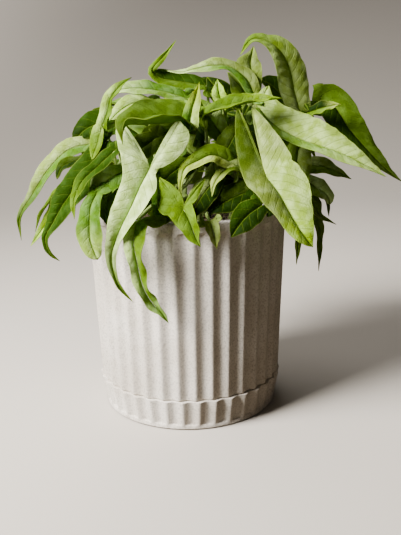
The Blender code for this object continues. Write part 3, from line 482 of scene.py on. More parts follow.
# %% Potting soil
SOIL_TOP = 137.0
SOIL_EDGE_DROP = 1.5
SOIL_ROUGHNESS = 1.8
SOIL_LUMP = 9.0
SOIL_COLUMNS = 144
SOIL_RINGS = (*range(60, 0, -5), 2)
CRUMBS = 520
CRUMB_SIZES = (0.8, 2.6)
CRUMB_SPREAD = 58.0
CRUMB_LIFT = 0.3
CRUMB_SEED = 7
SOIL_DARK = srgb(38, 28, 21)
SOIL_BROWN = srgb(92, 70, 52)
SOIL_PALE = srgb(150, 128, 102)
LUMP_SCALE, FIBRE_SCALE = 220.0, 700.0

soil_material, tree, shader = new_material("potting_soil")
place = object_place(tree)
lumps = speckle(tree, place, LUMP_SCALE, 5.0).outputs["Fac"]
fibres = speckle(tree, place, FIBRE_SCALE, kind="Voronoi").outputs["Color"]
colour = blend_colours(tree, fade(tree, lumps, 0.4, 0.65, 0.0, 1.0), SOIL_DARK, SOIL_BROWN)
pale_bits = add(tree, "ShaderNodeSeparateColor")
feed(tree, pale_bits, (fibres,))
colour = blend_colours(tree, fade(tree, pale_bits.outputs[0], 0.93, 0.97, 0.0, 0.8), colour, SOIL_PALE)
coat(tree, shader, colour, 0.95, bump(tree, lumps, 0.0012, 0.8))


def inner_radius(z):
    """The radius of the pot's inside at a height."""
    share = (z - POT_FLOOR) / (POT_HEIGHT - POT_FLOOR)
    return POT_INNER_FLOOR_RADIUS + share * (POT_INNER_TOP_RADIUS - POT_INNER_FLOOR_RADIUS)


def lumpiness(point):
    """How far the soil rises or falls at a point of its top, -1 to 1 before it is cut off."""
    return noise.fractal(point / SOIL_LUMP, 1.0, 2.0, 3)


wall_heights = (POT_FLOOR + CLEARANCE, SOIL_TOP - SOIL_EDGE_DROP)
soil_profile = rings([(z, inner_radius(z) - CLEARANCE) for z in wall_heights])
soil_profile += rings([(SOIL_TOP, radius) for radius in SOIL_RINGS])
bm = turned(soil_profile, POT_RIDGE_AT, closed=False, count=SOIL_COLUMNS)
for vert in bm.verts:
    if vert.co.z > SOIL_TOP - 0.1:
        vert.co.z += SOIL_ROUGHNESS * max(-1.0, min(1.0, lumpiness(vert.co)))
dice = np.random.default_rng(CRUMB_SEED)
for crumb in range(CRUMBS):
    size = dice.uniform(*CRUMB_SIZES) * dice.uniform(0.5, 1.0)
    angle, far = dice.uniform(0, 2 * math.pi), CRUMB_SPREAD * math.sqrt(dice.uniform())
    turn = Euler(dice.uniform(0, 6.28, 3)).to_matrix().to_4x4()
    stretch = Vector(dice.uniform(0.6, 1.0, 3))
    made = bmesh.ops.create_icosphere(bm, subdivisions=1, radius=size, matrix=turn)["verts"]
    bmesh.ops.scale(bm, vec=stretch, verts=made)
    spot = Vector((far * math.cos(angle), far * math.sin(angle), SOIL_TOP))
    spot.z += SOIL_ROUGHNESS * lumpiness(spot) + CRUMB_LIFT * size
    bmesh.ops.translate(bm, vec=spot, verts=made)
soil = finished("soil_crumbly", bm, [soil_material], sharp_over=60)
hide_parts("soil")

# %% [markdown]
# ## The shape of a leaf
#
# An arrowhead leaf has one long point and two lobes behind the neck, where the stalk joins it. The
# blade folds along its midrib, and the side veins pull narrow valleys between soft cushions. A flat
# cut-out with a bump map would give neither the folds nor a true outline, so each half of a blade
# is a grid. Its rows run from the lobe's tip past the neck to the leaf's tip, its columns from the
# midrib out to the margin. The midrib is a smooth curve through a few places measured on the
# picture, and everything else hangs on it.

# %% Sizes of leaves
BLADE_THICKNESS = 0.45
ROW_LENGTH = 1.8
COLUMNS = 9
ACROSS = np.linspace(0, 1, COLUMNS + 1)
EDGE_WAVE = 0.8
PUFF = 0.06
FOLDS = (10, 10)
FOLD_AT_NECK = 0.35
FOLD_FULL_AFTER = 0.2
LEFT_EDGE_PHASE = 1.3
LOBE_ARCH = 0.3
LOBE_START = 0.8
LOBE_SHRINK = 1.5
LOBE_TURNS = 0.6
VEIN_SPACING = 7.0
VEIN_SLOPE = 0.75
VEIN_CURVE = 0.018
CUSHION, CUSHION_SHAPE = 0.55, 0.8
CUSHION_FROM_VEIN, CUSHION_FROM_MARGIN = 3.5, 3.0
GROOVE, GROOVE_WIDTH, GROOVE_FROM_MARGIN = 0.5, 1.0, 2.0
RUFFLE, RUFFLE_LENGTH, RUFFLE_REACH = 0.6, 5.0, 4
RAGGED = 0.6
FULL_RELIEF_WIDTH, FULL_RUFFLE_WIDTH, FULL_RAGGED_WIDTH, FULL_LOBE_WIDTH = 5, 4, 3, 6


# %% One leaf by its measures
def unit(v):
    v = np.asarray(v, float)
    return v / max(np.linalg.norm(v), 1e-9)


def lobe(tip, inner=3, outer=3, blunt=0.6, facing=None):
    """One of the two lobes behind the neck: its tip, and how far it swells to either side of the
    line from neck to tip. A low blunt rounds its end."""
    return SimpleNamespace(tip=np.array(tip, float), inner=inner, outer=outer, blunt=blunt, facing=facing)


def leaf(rib, facing, right, left, look, folds=FOLDS, roundness=1.0, wave=EDGE_WAVE, waves=2.5):
    """A leaf blade by its midrib, from neck to tip, as (x, y, z, half width). A fifth value is the
    width of the left half where it differs from the right one.

    facing lists where its upper side looks, from neck to tip. folds raises its right and left half
    by that many degrees towards the upper side. Right and left are those of someone who looks along
    the midrib from above. look names its tones: right half, left half, tip, and for some leaves the
    right and the left lobe."""
    rib = np.array([(*point[:4], point[-1]) for point in rib], float)
    return SimpleNamespace(rib=rib, facing=facing, lobes=(right, left), folds=folds, look=look,
                           roundness=roundness, wave=wave, waves=waves)


# %% Leaves that arch over the back
ARCH_WIDTHS = (0.72, 1.0, 0.8, 0.38, 0.0)
ARCH_LOBE_OUT, ARCH_LOBE_BACK, ARCH_LOBE_UP, ARCH_LOBE_PITCH = 1.15, 0.26, 9.0, 12.0
ARCH_LOBE_SHAPE = {"inner": 3.0, "outer": 4.5, "blunt": 0.7}
ARCH_FOLDS = (14.0, 14.0)
ARCH_WAVE = 1.0
ARCH_TWIST = 1.5


def arching_leaf(azimuth, radius, height, start_pitch, end_pitch, length, width, drift, look):
    """A leaf that leaves the plant at an azimuth (0 is the front, 90 is +X) and arches over."""
    a = math.radians(azimuth)
    out = np.array([math.sin(a), -math.cos(a), 0.0])
    side = np.array([math.cos(a), math.sin(a), 0.0])
    up = np.array([0.0, 0.0, 1.0])
    turn = math.radians(drift)
    place = neck = out * radius + up * height
    rib = [(*place, width * ARCH_WIDTHS[0])]
    steps = len(ARCH_WIDTHS) - 1
    for k, share in enumerate(ARCH_WIDTHS[1:]):
        pitch = math.radians(start_pitch + (end_pitch - start_pitch) * (k + 0.5) / steps)
        heading = unit(out * math.cos(pitch) + up * math.sin(pitch) + side * turn)
        place = place + heading * length / steps
        rib.append((*place, width * share))
    facing = []
    for pitch in (start_pitch, (start_pitch + end_pitch) / 2, end_pitch):
        p = math.radians(pitch)
        facing.append(tuple(-out * math.sin(p) + up * math.cos(p) + side * turn * ARCH_TWIST))
    p = math.radians(start_pitch + ARCH_LOBE_PITCH)
    heading = out * math.cos(p) + up * math.sin(p)
    across = unit(np.cross(heading, facing[0])) * width * ARCH_LOBE_OUT
    behind = neck - heading * ARCH_LOBE_BACK * length + up * ARCH_LOBE_UP
    lobes = [lobe(tip, **ARCH_LOBE_SHAPE) for tip in (behind + across, behind - across)]
    return leaf(rib, facing, *lobes, look, folds=ARCH_FOLDS, wave=ARCH_WAVE)


# %% A smooth curve, and the midrib on it
def smooth_path(points, count):
    """count + 1 evenly spaced points on the centripetal Catmull-Rom curve through the given ones.
    The first three values are the place, and any others follow along."""
    p = np.asarray(points, float)
    p = np.vstack([2 * p[0] - p[1], p, 2 * p[-1] - p[-2]])
    fine = []
    for a, b, c, d in zip(p, p[1:], p[2:], p[3:]):
        knots = [max(np.linalg.norm(step[:3]), 1e-6) ** 0.5 for step in (b - a, c - b, d - c)]
        tb, tc, td = np.cumsum(knots)
        for t in np.linspace(tb, tc, 24, endpoint=False):
            ab = (tb - t) / tb * a + t / tb * b
            bc = (tc - t) / (tc - tb) * b + (t - tb) / (tc - tb) * c
            cd = (td - t) / (td - tc) * c + (t - tc) / (td - tc) * d
            abc = (tc - t) / tc * ab + t / tc * bc
            bcd = (td - t) / (td - tb) * bc + (t - tb) / (td - tb) * cd
            fine.append((tc - t) / (tc - tb) * abc + (t - tb) / (tc - tb) * bcd)
    fine = np.array([*fine, p[-2]])
    run = np.r_[0, np.cumsum(np.linalg.norm(np.diff(fine[:, :3], axis=0), axis=1))]
    even = np.linspace(0, run[-1], count + 1)
    return np.stack([np.interp(even, run, fine[:, k]) for k in range(fine.shape[1])], axis=1)


def midrib(one, stations):
    """Places, half widths, headings, upper-side normals and right-hand directions along a leaf."""
    points = one.rib.copy()
    points[:, 3:] **= one.roundness
    curve = smooth_path(points, stations)
    rib = curve[:, :3]
    width = np.clip(curve[:, 3:], 0, None) ** (1 / one.roundness)
    width[-1] = 0
    heading = np.gradient(rib, axis=0)
    heading /= np.linalg.norm(heading, axis=1)[:, None]
    looks = np.array([unit(f) for f in one.facing])
    along = np.linspace(0, 1, stations + 1)
    places = np.linspace(0, 1, len(looks))
    facing = np.stack([np.interp(along, places, looks[:, k]) for k in range(3)], axis=1)
    right = np.cross(heading, facing)
    right /= np.linalg.norm(right, axis=1)[:, None]
    return rib, width, heading, np.cross(right, heading), right, along


# %% Relief of a leaf
def relief(from_vein, along_vein, from_margin, offset):
    """How far the surface rises at a place: a groove over the main vein, and cushions between the
    side veins, which leave the main vein forwards and bend towards the tip."""
    line = along_vein - VEIN_SLOPE * from_vein - VEIN_CURVE * from_vein ** 2 + offset
    cushion = np.abs(np.sin(math.pi * line / VEIN_SPACING)) ** CUSHION_SHAPE
    cushion *= np.clip(from_vein / CUSHION_FROM_VEIN, 0, 1)
    cushion *= np.clip(from_margin / CUSHION_FROM_MARGIN, 0, 1)
    groove = np.exp(-(from_vein / GROOVE_WIDTH) ** 2) * np.clip(from_margin / GROOVE_FROM_MARGIN, 0, 1)
    return CUSHION * cushion - GROOVE * groove


def waver(points, seed):
    """Noise from -1 to 1 for each point, in soft steps of RUFFLE_LENGTH."""
    shift = Vector((seed * 17.3, seed * -5.1, seed * 9.7))
    return np.array([noise.noise(Vector(point) / RUFFLE_LENGTH + shift) for point in points])


def swell(a, blunt):
    """How wide a lobe is at the share a of its length, 1 at its widest."""
    grid = np.linspace(0, 1, 101)
    return a ** LOBE_START * (1 - a) ** blunt / (grid ** LOBE_START * (1 - grid) ** blunt).max()


# %% Half a blade
def half_frame(one, side, rows):
    """What the right (side 1) or left (side -1) half of a blade hangs on, station by station: the
    midrib, the half's width, the way out across it, and its normal on the upper side."""
    rib, width, _, upper, right, along = midrib(one, rows)
    which = 0 if side > 0 else 1
    growth = FOLD_AT_NECK + (1 - FOLD_AT_NECK) * along / FOLD_FULL_AFTER
    fold = (np.radians(one.folds[which]) * np.clip(growth, 0, 1))[:, None]
    right = side * right
    return SimpleNamespace(
        side=side, rib=rib, along=along, width=width[:, which], upper=upper, right=right,
        out=right * np.cos(fold) + upper * np.sin(fold),
        normal=upper * np.cos(fold) - right * np.sin(fold),
        length=np.linalg.norm(np.diff(rib, axis=0), axis=1).sum(), lobe=one.lobes[which],
        phase=0 if side > 0 else LEFT_EDGE_PHASE, offset=0 if side > 0 else VEIN_SPACING / 2)


def lobe_part(one, half, count, seed):
    """Rows of a half from the lobe's tip to just before the neck, each from the sinus out to the
    margin, with the measures that half_blade names."""
    shape, neck, normal = half.lobe, half.rib[0], half.normal[0]
    reach = shape.tip - neck
    bend = neck + 0.5 * reach - LOBE_ARCH * ((reach @ normal) * normal)
    axis = unit(reach)
    sideways = unit(half.side * np.cross(-axis, unit(shape.facing or half.upper[0])))
    if not shape.facing and sideways @ half.right[0] < 0:
        sideways = -sideways
    lobe_normal = unit(np.cross(axis, sideways))
    lobe_normal *= math.copysign(1, lobe_normal @ normal)
    grid, measures = [], []
    for a in np.linspace(1, 0, count + 1)[:-1]:
        middle = (1 - a) ** 2 * neck + 2 * a * (1 - a) * bend + a * a * shape.tip
        bulge = swell(a, shape.blunt)
        inner = middle - sideways * shape.inner * bulge
        outer = middle + half.out[0] * half.width[0] * (1 - a) ** LOBE_SHRINK
        outer = outer + sideways * shape.outer * bulge
        wide = np.linalg.norm(outer - inner)
        from_vein = np.abs(ACROSS * wide - shape.inner * bulge)
        from_margin = wide * np.minimum(ACROSS, 1 - ACROSS)
        down = np.full(COLUMNS + 1, a * np.linalg.norm(reach))
        swing = math.sin(half.phase - 2 * math.pi * LOBE_TURNS * a)
        wave = one.wave * swing * ACROSS ** 2 * (1 - a)
        puff = PUFF * np.sin(math.pi * ACROSS) * (shape.inner + shape.outer) * min(1, 3 * (1 - a))
        rise = wave + puff + relief(from_vein, down, from_margin, half.offset)
        places = inner + (outer - inner) * ACROSS[:, None]
        ruffle = RUFFLE * np.clip(1 - from_margin / RUFFLE_REACH, 0, 1) * waver(places, seed)
        ruffle *= min(1, wide / FULL_LOBE_WIDTH)
        grid.append(places + unit(lobe_normal * a + normal * (1 - a)) * (rise + ruffle)[:, None])
        measures.append(np.stack([from_vein, down + half.offset, from_margin], axis=1))
    return grid, measures


def long_part(one, half, seed):
    """Rows of a half from the neck to the leaf's tip, each from the midrib out to the margin."""
    grid, measures = [], []
    for k, share in enumerate(half.along):
        width, out = half.width[k], half.out[k]
        from_vein = width * ACROSS
        from_margin = width - from_vein
        down = np.full(COLUMNS + 1, share * half.length)
        swing = math.sin(2 * math.pi * one.waves * share + half.phase)
        wave = one.wave * swing * ACROSS ** 2 * min(1, 4 * (1 - share))
        puff = PUFF * width * np.sin(math.pi * ACROSS)
        rise = relief(from_vein, down, from_margin, half.offset) * min(1, width / FULL_RELIEF_WIDTH)
        rise = wave + puff + rise
        places = half.rib[k] + out * from_vein[:, None]
        uneven = waver(places, seed)
        places = places + out * (RAGGED * uneven * ACROSS * min(1, width / FULL_RAGGED_WIDTH))[:, None]
        ruffle = RUFFLE * ACROSS ** 3 * uneven * min(1, width / FULL_RUFFLE_WIDTH)
        grid.append(places + half.normal[k] * (rise + ruffle)[:, None])
        measures.append(np.stack([from_vein, down + half.offset, from_margin], axis=1))
    return grid, measures


def half_blade(one, side, lobe_rows, rows, seed):
    """The points of half a blade, row by row from the lobe's tip by the neck to the leaf's tip. With
    each come its distance from the main vein, its distance along it, and that from the margin."""
    half = half_frame(one, side, rows)
    parts = zip(lobe_part(one, half, lobe_rows, seed), long_part(one, half, seed))
    return [np.concatenate(lobe_values + long_values) for lobe_values, long_values in parts]


# %% [markdown]
# ## Colours of the leaves
#
# On this plant a young leaf is silvery mint or cream, and it turns lime, then grass green and at
# last deep green. Undersides are paler and duller. Fifteen tones are mixed here like paint, and each
# leaf names the tones of its right half, its left half and its tip. The tones also carry painted
# light and shade: a half that lies in shade often has a paler tone, which is painted light, and the
# darkest green is partly painted shade. The finish could be an image texture, but a procedural one
# stays sharp at any distance. It draws the main vein, the side veins and a pale margin from a UV map
# that holds distances on the leaf, and breaks up the tones with noise. Light also shines through a
# thin leaf, so part of the shader is a Translucent BSDF.

# %% Tones
TONES = {
    "silver": srgb(208, 234, 148),
    "cream": srgb(168, 186, 88),
    "grey_mint": srgb(166, 186, 104),
    "pale_mint": srgb(182, 210, 108),
    "mint": srgb(132, 168, 72),
    "sage": srgb(98, 138, 50),
    "lime_pale": srgb(172, 208, 70),
    "lime": srgb(104, 138, 10),
    "yellow": srgb(150, 170, 24),
    "grass": srgb(44, 73, 0),
    "lime_olive": srgb(88, 120, 6),
    "olive_pale": srgb(128, 146, 72),
    "olive": srgb(72, 92, 26),
    # Deep green, made darker still as painted shade for inner leaves and halves that lie in shade.
    "deep": srgb(24, 44, 3),
    # A green lifted for leaves in the plant's shade: painted light where little light reaches them.
    "shade": srgb(112, 142, 40),
}
TIP_TONE_FROM, TIP_TONE_FADE, LOBE_TONE_FADE = 0.45, 0.4, 0.3


def tone_at(look, side, share):
    """The tone of one half of a leaf at a share of the way from its neck to its tip. On the lobe
    the share is negative, down to -1 at the lobe's tip."""
    which = 0 if side > 0 else 1
    half, tip = (np.array(TONES[look[k]][:3]) for k in (which, 2))
    lobe_tone = np.array(TONES[look[3 + which]][:3]) if len(look) > 3 else half
    towards_tip = np.clip((share - TIP_TONE_FROM) / TIP_TONE_FADE, 0, 1)
    towards_lobe = np.clip(-share / LOBE_TONE_FADE, 0, 1)
    return half + (tip - half) * towards_tip + (lobe_tone - half) * towards_lobe


print("tones:", ", ".join(TONES))

# %% Pattern of veins, shared by both sides of a leaf
UV_UNIT = 100.0
VEIN_WOBBLE, WOBBLE_SCALE = 1.2, 0.15
NET_SCALE, BLOTCH_SCALE = 0.62, 0.11
SIDE_VEIN_DEPTH, NET_DEPTH, MAIN_VEIN_DEPTH = 0.5, 0.25, 0.4

veins = bpy.data.node_groups.new("leaf_veins", "ShaderNodeTree")
for name, kind in (("Distances", "NodeSocketVector"), ("Margin", "NodeSocketFloat")):
    veins.interface.new_socket(name, in_out="INPUT", socket_type=kind)
for name in ("Main vein", "Side veins", "Edge", "Blotches", "Height"):
    veins.interface.new_socket(name, in_out="OUTPUT", socket_type="NodeSocketFloat")
given = add(veins, "NodeGroupInput").outputs
result = add(veins, "NodeGroupOutput")
scaled = add(veins, "ShaderNodeVectorMath", operation="SCALE")
feed(veins, scaled, {"Vector": given["Distances"], "Scale": UV_UNIT})
millimetres = scaled.outputs[0]
parts = add(veins, "ShaderNodeSeparateXYZ")
feed(veins, parts, (millimetres,))
from_vein, along_vein = parts.outputs["X"], parts.outputs["Y"]

wobble = speckle(veins, millimetres, WOBBLE_SCALE).outputs["Fac"]
bent = calculate(veins, "MULTIPLY_ADD", from_vein, -VEIN_SLOPE, along_vein)
square = calculate(veins, "POWER", from_vein, 2.0)
bent = calculate(veins, "MULTIPLY_ADD", square, -VEIN_CURVE, bent)
bent = calculate(veins, "ADD", bent, calculate(veins, "MULTIPLY", wobble, VEIN_WOBBLE))
bent = calculate(veins, "SUBTRACT", bent, VEIN_WOBBLE / 2)
near_side = calculate(veins, "PINGPONG", bent, VEIN_SPACING / 2)
main_vein = fade(veins, from_vein, 0.25, 0.8)
side_veins = calculate(veins, "MULTIPLY", fade(veins, near_side, 0.05, 0.5),
                       fade(veins, given["Margin"], 0.8, 3.0, 0.0, 1.0))
thin_veins = speckle(veins, millimetres, NET_SCALE, kind="Voronoi")
thin_veins.feature = "DISTANCE_TO_EDGE"
net = fade(veins, thin_veins.outputs["Distance"], 0.0, 0.12)
blotch = speckle(veins, millimetres, BLOTCH_SCALE, 5.0).outputs["Fac"]
height = calculate(veins, "MULTIPLY_ADD", side_veins, -SIDE_VEIN_DEPTH, 1.0)
height = calculate(veins, "MULTIPLY_ADD", net, -NET_DEPTH, height)
height = calculate(veins, "MULTIPLY_ADD", main_vein, -MAIN_VEIN_DEPTH, height)
edge = fade(veins, given["Margin"], 0.15, 0.6)
blotches = fade(veins, blotch, 0.4, 0.6, 0.0, 1.0)
feed(veins, result, (main_vein, side_veins, edge, blotches, height))
print("the vein pattern has", len(veins.nodes), "nodes")

# %% Leaf materials
VEIN = srgb(104, 128, 34)
PALE_EDGE = srgb(208, 222, 98)
UNDERSIDE = srgb(130, 154, 72)
GLOW = srgb(170, 212, 30)
STALK, STALK_PALE = srgb(112, 142, 60), srgb(164, 184, 98)
LIGHTER, DEEPER = (0.92, 1.1), (1.12, 0.72)
SIDE_VEIN_SHARE, PALE_EDGE_SHARE, GLOW_SHARE = 0.5, 0.12, 0.55
LEAF_SPECULAR = 0.03
LEAF_RELIEF = 0.0009
LEAF_TRANSLUCENCY = 0.3
STREAK_STRETCH = (1.0, 1.0, 0.12)


def leaf_material(name, paler, vein_share, roughness, relief_strength):
    """One side of a leaf. paler mixes the tone towards grey-green, as on an underside."""
    made, tree, shader = new_material(name)
    tone = add(tree, "ShaderNodeAttribute", attribute_name="tone").outputs["Color"]
    margin = add(tree, "ShaderNodeAttribute", attribute_name="margin").outputs["Fac"]
    distances = add(tree, "ShaderNodeUVMap", uv_map="UVMap").outputs["UV"]
    pattern = add(tree, "ShaderNodeGroup", node_tree=veins)
    feed(tree, pattern, (distances, margin))
    shades = []
    for saturation, value in (LIGHTER, DEEPER):
        shade = add(tree, "ShaderNodeHueSaturation")
        feed(tree, shade, {"Saturation": saturation, "Value": value, "Color": tone})
        shades.append(shade.outputs[0])
    lighter, deeper = shades
    colour = blend_colours(tree, pattern.outputs["Blotches"], deeper, lighter)
    colour = blend_colours(tree, paler, colour, UNDERSIDE)
    lines = calculate(tree, "MULTIPLY", pattern.outputs["Side veins"], SIDE_VEIN_SHARE)
    lines = calculate(tree, "MAXIMUM", pattern.outputs["Main vein"], lines)
    colour = blend_colours(tree, calculate(tree, "MULTIPLY", lines, vein_share), colour, VEIN)
    margin_tone = blend_colours(tree, PALE_EDGE_SHARE, tone, PALE_EDGE)
    colour = blend_colours(tree, pattern.outputs["Edge"], colour, margin_tone)
    normal = bump(tree, pattern.outputs["Height"], LEAF_RELIEF, relief_strength)
    coat(tree, shader, colour, roughness, normal)
    feed(tree, shader, {"Specular IOR Level": LEAF_SPECULAR})
    through = add(tree, "ShaderNodeBsdfTranslucent")
    glow = blend_colours(tree, GLOW_SHARE, colour, GLOW)
    feed(tree, through, {"Color": glow, "Normal": normal})
    mixed = add(tree, "ShaderNodeMixShader")
    feed(tree, mixed, (LEAF_TRANSLUCENCY, shader.outputs[0], through.outputs[0]))
    feed(tree, tree.nodes["Material Output"], {"Surface": mixed.outputs[0]})
    return made


leaf_upper = leaf_material("leaf_upper", paler=0.0, vein_share=0.6, roughness=0.5, relief_strength=0.7)
leaf_under = leaf_material("leaf_under", paler=0.35, vein_share=0.35, roughness=0.6, relief_strength=0.5)

stalk_material, tree, shader = new_material("stalk")
streaks = add(tree, "ShaderNodeMapping")
feed(tree, streaks, {"Vector": object_place(tree), "Scale": STREAK_STRETCH})
lines = speckle(tree, streaks.outputs[0], 700.0, 3.0).outputs["Fac"]
colour = blend_colours(tree, lines, STALK, STALK_PALE)
coat(tree, shader, colour, 0.45, bump(tree, lines, 0.0003, 0.5))
LEAF_FINISHES = [leaf_upper, leaf_under, stalk_material]
print("leaf materials:", ", ".join(finish.name for finish in LEAF_FINISHES))

# %% [markdown]
# ## A stalk and a whole stem
#
# Each leaf stands on a thin round stalk that comes out of a short thick stem in the soil. A stalk
# could be a curve with a bevel, but the blades, stalks and stem of one plant belong in one piece,
# so a circle is extruded along the path instead, into the same mesh. The blades get their thickness
# from a Solidify modifier, which also gives the underside a material of its own.

# %% Stalks
STALK_FOOT, STALK_NECK, STALK_TIP = 1.7, 1.0, 0.5
STALK_RINGS, STALK_SIDES, STALK_TIP_RINGS = 22, 8, 4
STALK_FINISH = LEAF_FINISHES.index(stalk_material)
FOOT_ABOVE_SOIL, FOOT_OUT, FOOT_RISE, FOOT_LEAN = 1.5, 2, 10.5, 1.5
RIM_CLEAR_RADIUS, RIM_CLEAR_HEIGHT, LOW_NECK_HEIGHT, RIM_MARGIN = 54.0, 156.0, 172.0, 3
ARRIVAL_SHARE, ARRIVAL_LENGTH, UNDER_MIDRIB = 0.3, 18.0, 5.0
NECK_DROP, END_DROP = 1.2, 0.95
STUB_RADIUS, STUB_DEPTH, STUB_HEIGHT, STUB_TAPER, STUB_SIDES = 4.2, 11.0, 8.0, 0.7, 12


def petiole_path(one, crown):
    """From the short stem up through the plant to the leaf's neck, and a little way on under the
    midrib. A petiole whose leaf hangs outside the pot first clears the rim."""
    rib, _, heading, upper, _, _ = midrib(one, 8)
    neck = rib[0]
    foot = np.array([*crown, SOIL_TOP + FOOT_ABOVE_SOIL])
    reach = neck - foot
    away = unit([reach[0], reach[1], 0])
    foot = foot + away * FOOT_OUT
    radius = math.hypot(neck[0], neck[1])
    points = [foot, foot + np.array([0, 0, FOOT_RISE]) + away * FOOT_LEAN]
    if radius > RIM_CLEAR_RADIUS + RIM_MARGIN and neck[2] < LOW_NECK_HEIGHT:
        over = neck * RIM_CLEAR_RADIUS / radius
        over[2] = max(RIM_CLEAR_HEIGHT, min(neck[2] + 1, LOW_NECK_HEIGHT - RIM_MARGIN))
        points.append(over)
    else:
        arrival = unit(upper[0] * 0.8 + np.array([0, 0, 0.35]) + 0.25 * heading[0])
        points.append(neck - arrival * min(ARRIVAL_LENGTH, ARRIVAL_SHARE * np.linalg.norm(reach)))
    points += [neck - upper[0] * NECK_DROP, neck + heading[0] * UNDER_MIDRIB - upper[0] * END_DROP]
    return smooth_path(np.array(points), STALK_RINGS - 1)


def tube(bm, path, radii, sides):
    """A circle extruded along a path into bm, closed at both ends, in the stalk's finish."""
    number = bm.verts.layers.int.get("number") or bm.verts.layers.int.new("number")
    headings = np.gradient(np.asarray(path, float), axis=0)
    right = unit(np.cross(headings[0], (0.3, 1, 0.1)))
    verts = bmesh.ops.create_circle(bm, segments=sides, radius=1.0)["verts"]
    for k, vert in enumerate(verts):
        vert[number] = k
    edges = list(dict.fromkeys(edge for vert in verts for edge in vert.link_edges))
    all_faces = []
    for ring, (centre, heading, radius) in enumerate(zip(path, headings, radii)):
        if ring:
            verts, edges, faces = extrude(bm, edges)
            all_faces += faces
        heading = unit(heading)
        right = unit(right - heading * (right @ heading))
        up = np.cross(right, heading)
        for vert in verts:
            angle = 2 * math.pi * vert[number] / sides
            vert.co = centre + radius * (math.cos(angle) * right + math.sin(angle) * up)
        if ring in (0, len(path) - 1):
            all_faces += bmesh.ops.contextual_create(bm, geom=edges)["faces"]
    bmesh.ops.recalc_face_normals(bm, faces=all_faces)
    for face in all_faces:
        face.material_index = STALK_FINISH


# %% The blades of a stem
def thickened(bm):
    """A mesh of a sheet of blades with their thickness, the underside in its own finish."""
    mesh = bpy.data.meshes.new("blades")
    bm.to_mesh(mesh)
    bm.free()
    for finish in LEAF_FINISHES:
        mesh.materials.append(finish)
    sheet = new_object("blades", mesh)
    body = sheet.modifiers.new("thickness", "SOLIDIFY")
    body.thickness = BLADE_THICKNESS
    body.offset = 0
    body.material_offset = 1
    solved = bpy.data.meshes.new_from_object(sheet.evaluated_get(bpy.context.evaluated_depsgraph_get()))
    bpy.data.objects.remove(sheet, do_unlink=True)
    bpy.data.meshes.remove(mesh)
    return solved


def blades_of(name, leaves):
    """All blades of a stem in one thickened mesh. The upper side has material 0, the underside 1."""
    bm = bmesh.new()
    distances = bm.loops.layers.uv.new("UVMap")
    tone = bm.loops.layers.float_color.new("tone")
    margin = bm.verts.layers.float.new("margin")
    for number, one in enumerate(leaves):
        seed = sum(map(ord, name)) + number
        length = np.linalg.norm(np.diff(one.rib[:, :3], axis=0), axis=1).sum()
        reach = max(np.linalg.norm(each.tip - one.rib[0, :3]) for each in one.lobes)
        rows, lobe_rows = round(length / ROW_LENGTH), round(reach / ROW_LENGTH)
        for side in (1, -1):
            places, measures = half_blade(one, side, lobe_rows, rows, seed)
            grid = bmesh.ops.create_grid(bm, x_segments=COLUMNS, y_segments=lobe_rows + rows)["verts"]
            for k, vert in enumerate(grid):
                from_vein, down, from_margin = measures[k]
                vert.co = places[k]
                vert[margin] = from_margin
                row = k // (COLUMNS + 1) - lobe_rows
                colour = (*tone_at(one.look, side, row / (rows if row > 0 else lobe_rows)), 1.0)
                for loop in vert.link_loops:
                    loop[distances].uv = (from_vein / UV_UNIT, down / UV_UNIT)
                    loop[tone] = colour
            if side < 0:
                turned_over = dict.fromkeys(face for vert in grid for face in vert.link_faces)
                bmesh.ops.reverse_faces(bm, faces=list(turned_over))
    bmesh.ops.remove_doubles(bm, verts=bm.verts, dist=0.01)
    return thickened(bm)


# %% A stem with its leaves
def grow(name, crown, leaves):
    """A short stem with all its leaves, in place of the frame's plain one."""
    blades = blades_of(name, leaves)
    bm = bmesh.new()
    bm.from_mesh(blades)
    bpy.data.meshes.remove(blades)
    radii = np.linspace(STALK_FOOT, STALK_NECK, STALK_RINGS)
    radii[-STALK_TIP_RINGS:] = np.linspace(STALK_NECK, STALK_TIP, STALK_TIP_RINGS)
    for one in leaves:
        tube(bm, petiole_path(one, crown), radii, STALK_SIDES)
    heights = (-STUB_DEPTH, 0, STUB_HEIGHT / 2, STUB_HEIGHT)
    tapers = (STUB_TAPER, 1, 1, STUB_TAPER)
    stub_path = [np.array([*crown, SOIL_TOP + height]) for height in heights]
    tube(bm, stub_path, [STUB_RADIUS * taper for taper in tapers], STUB_SIDES)
    piece = finished("leaves_" + name, bm, LEAF_FINISHES, sharp_over=75)
    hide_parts("stem_" + name)
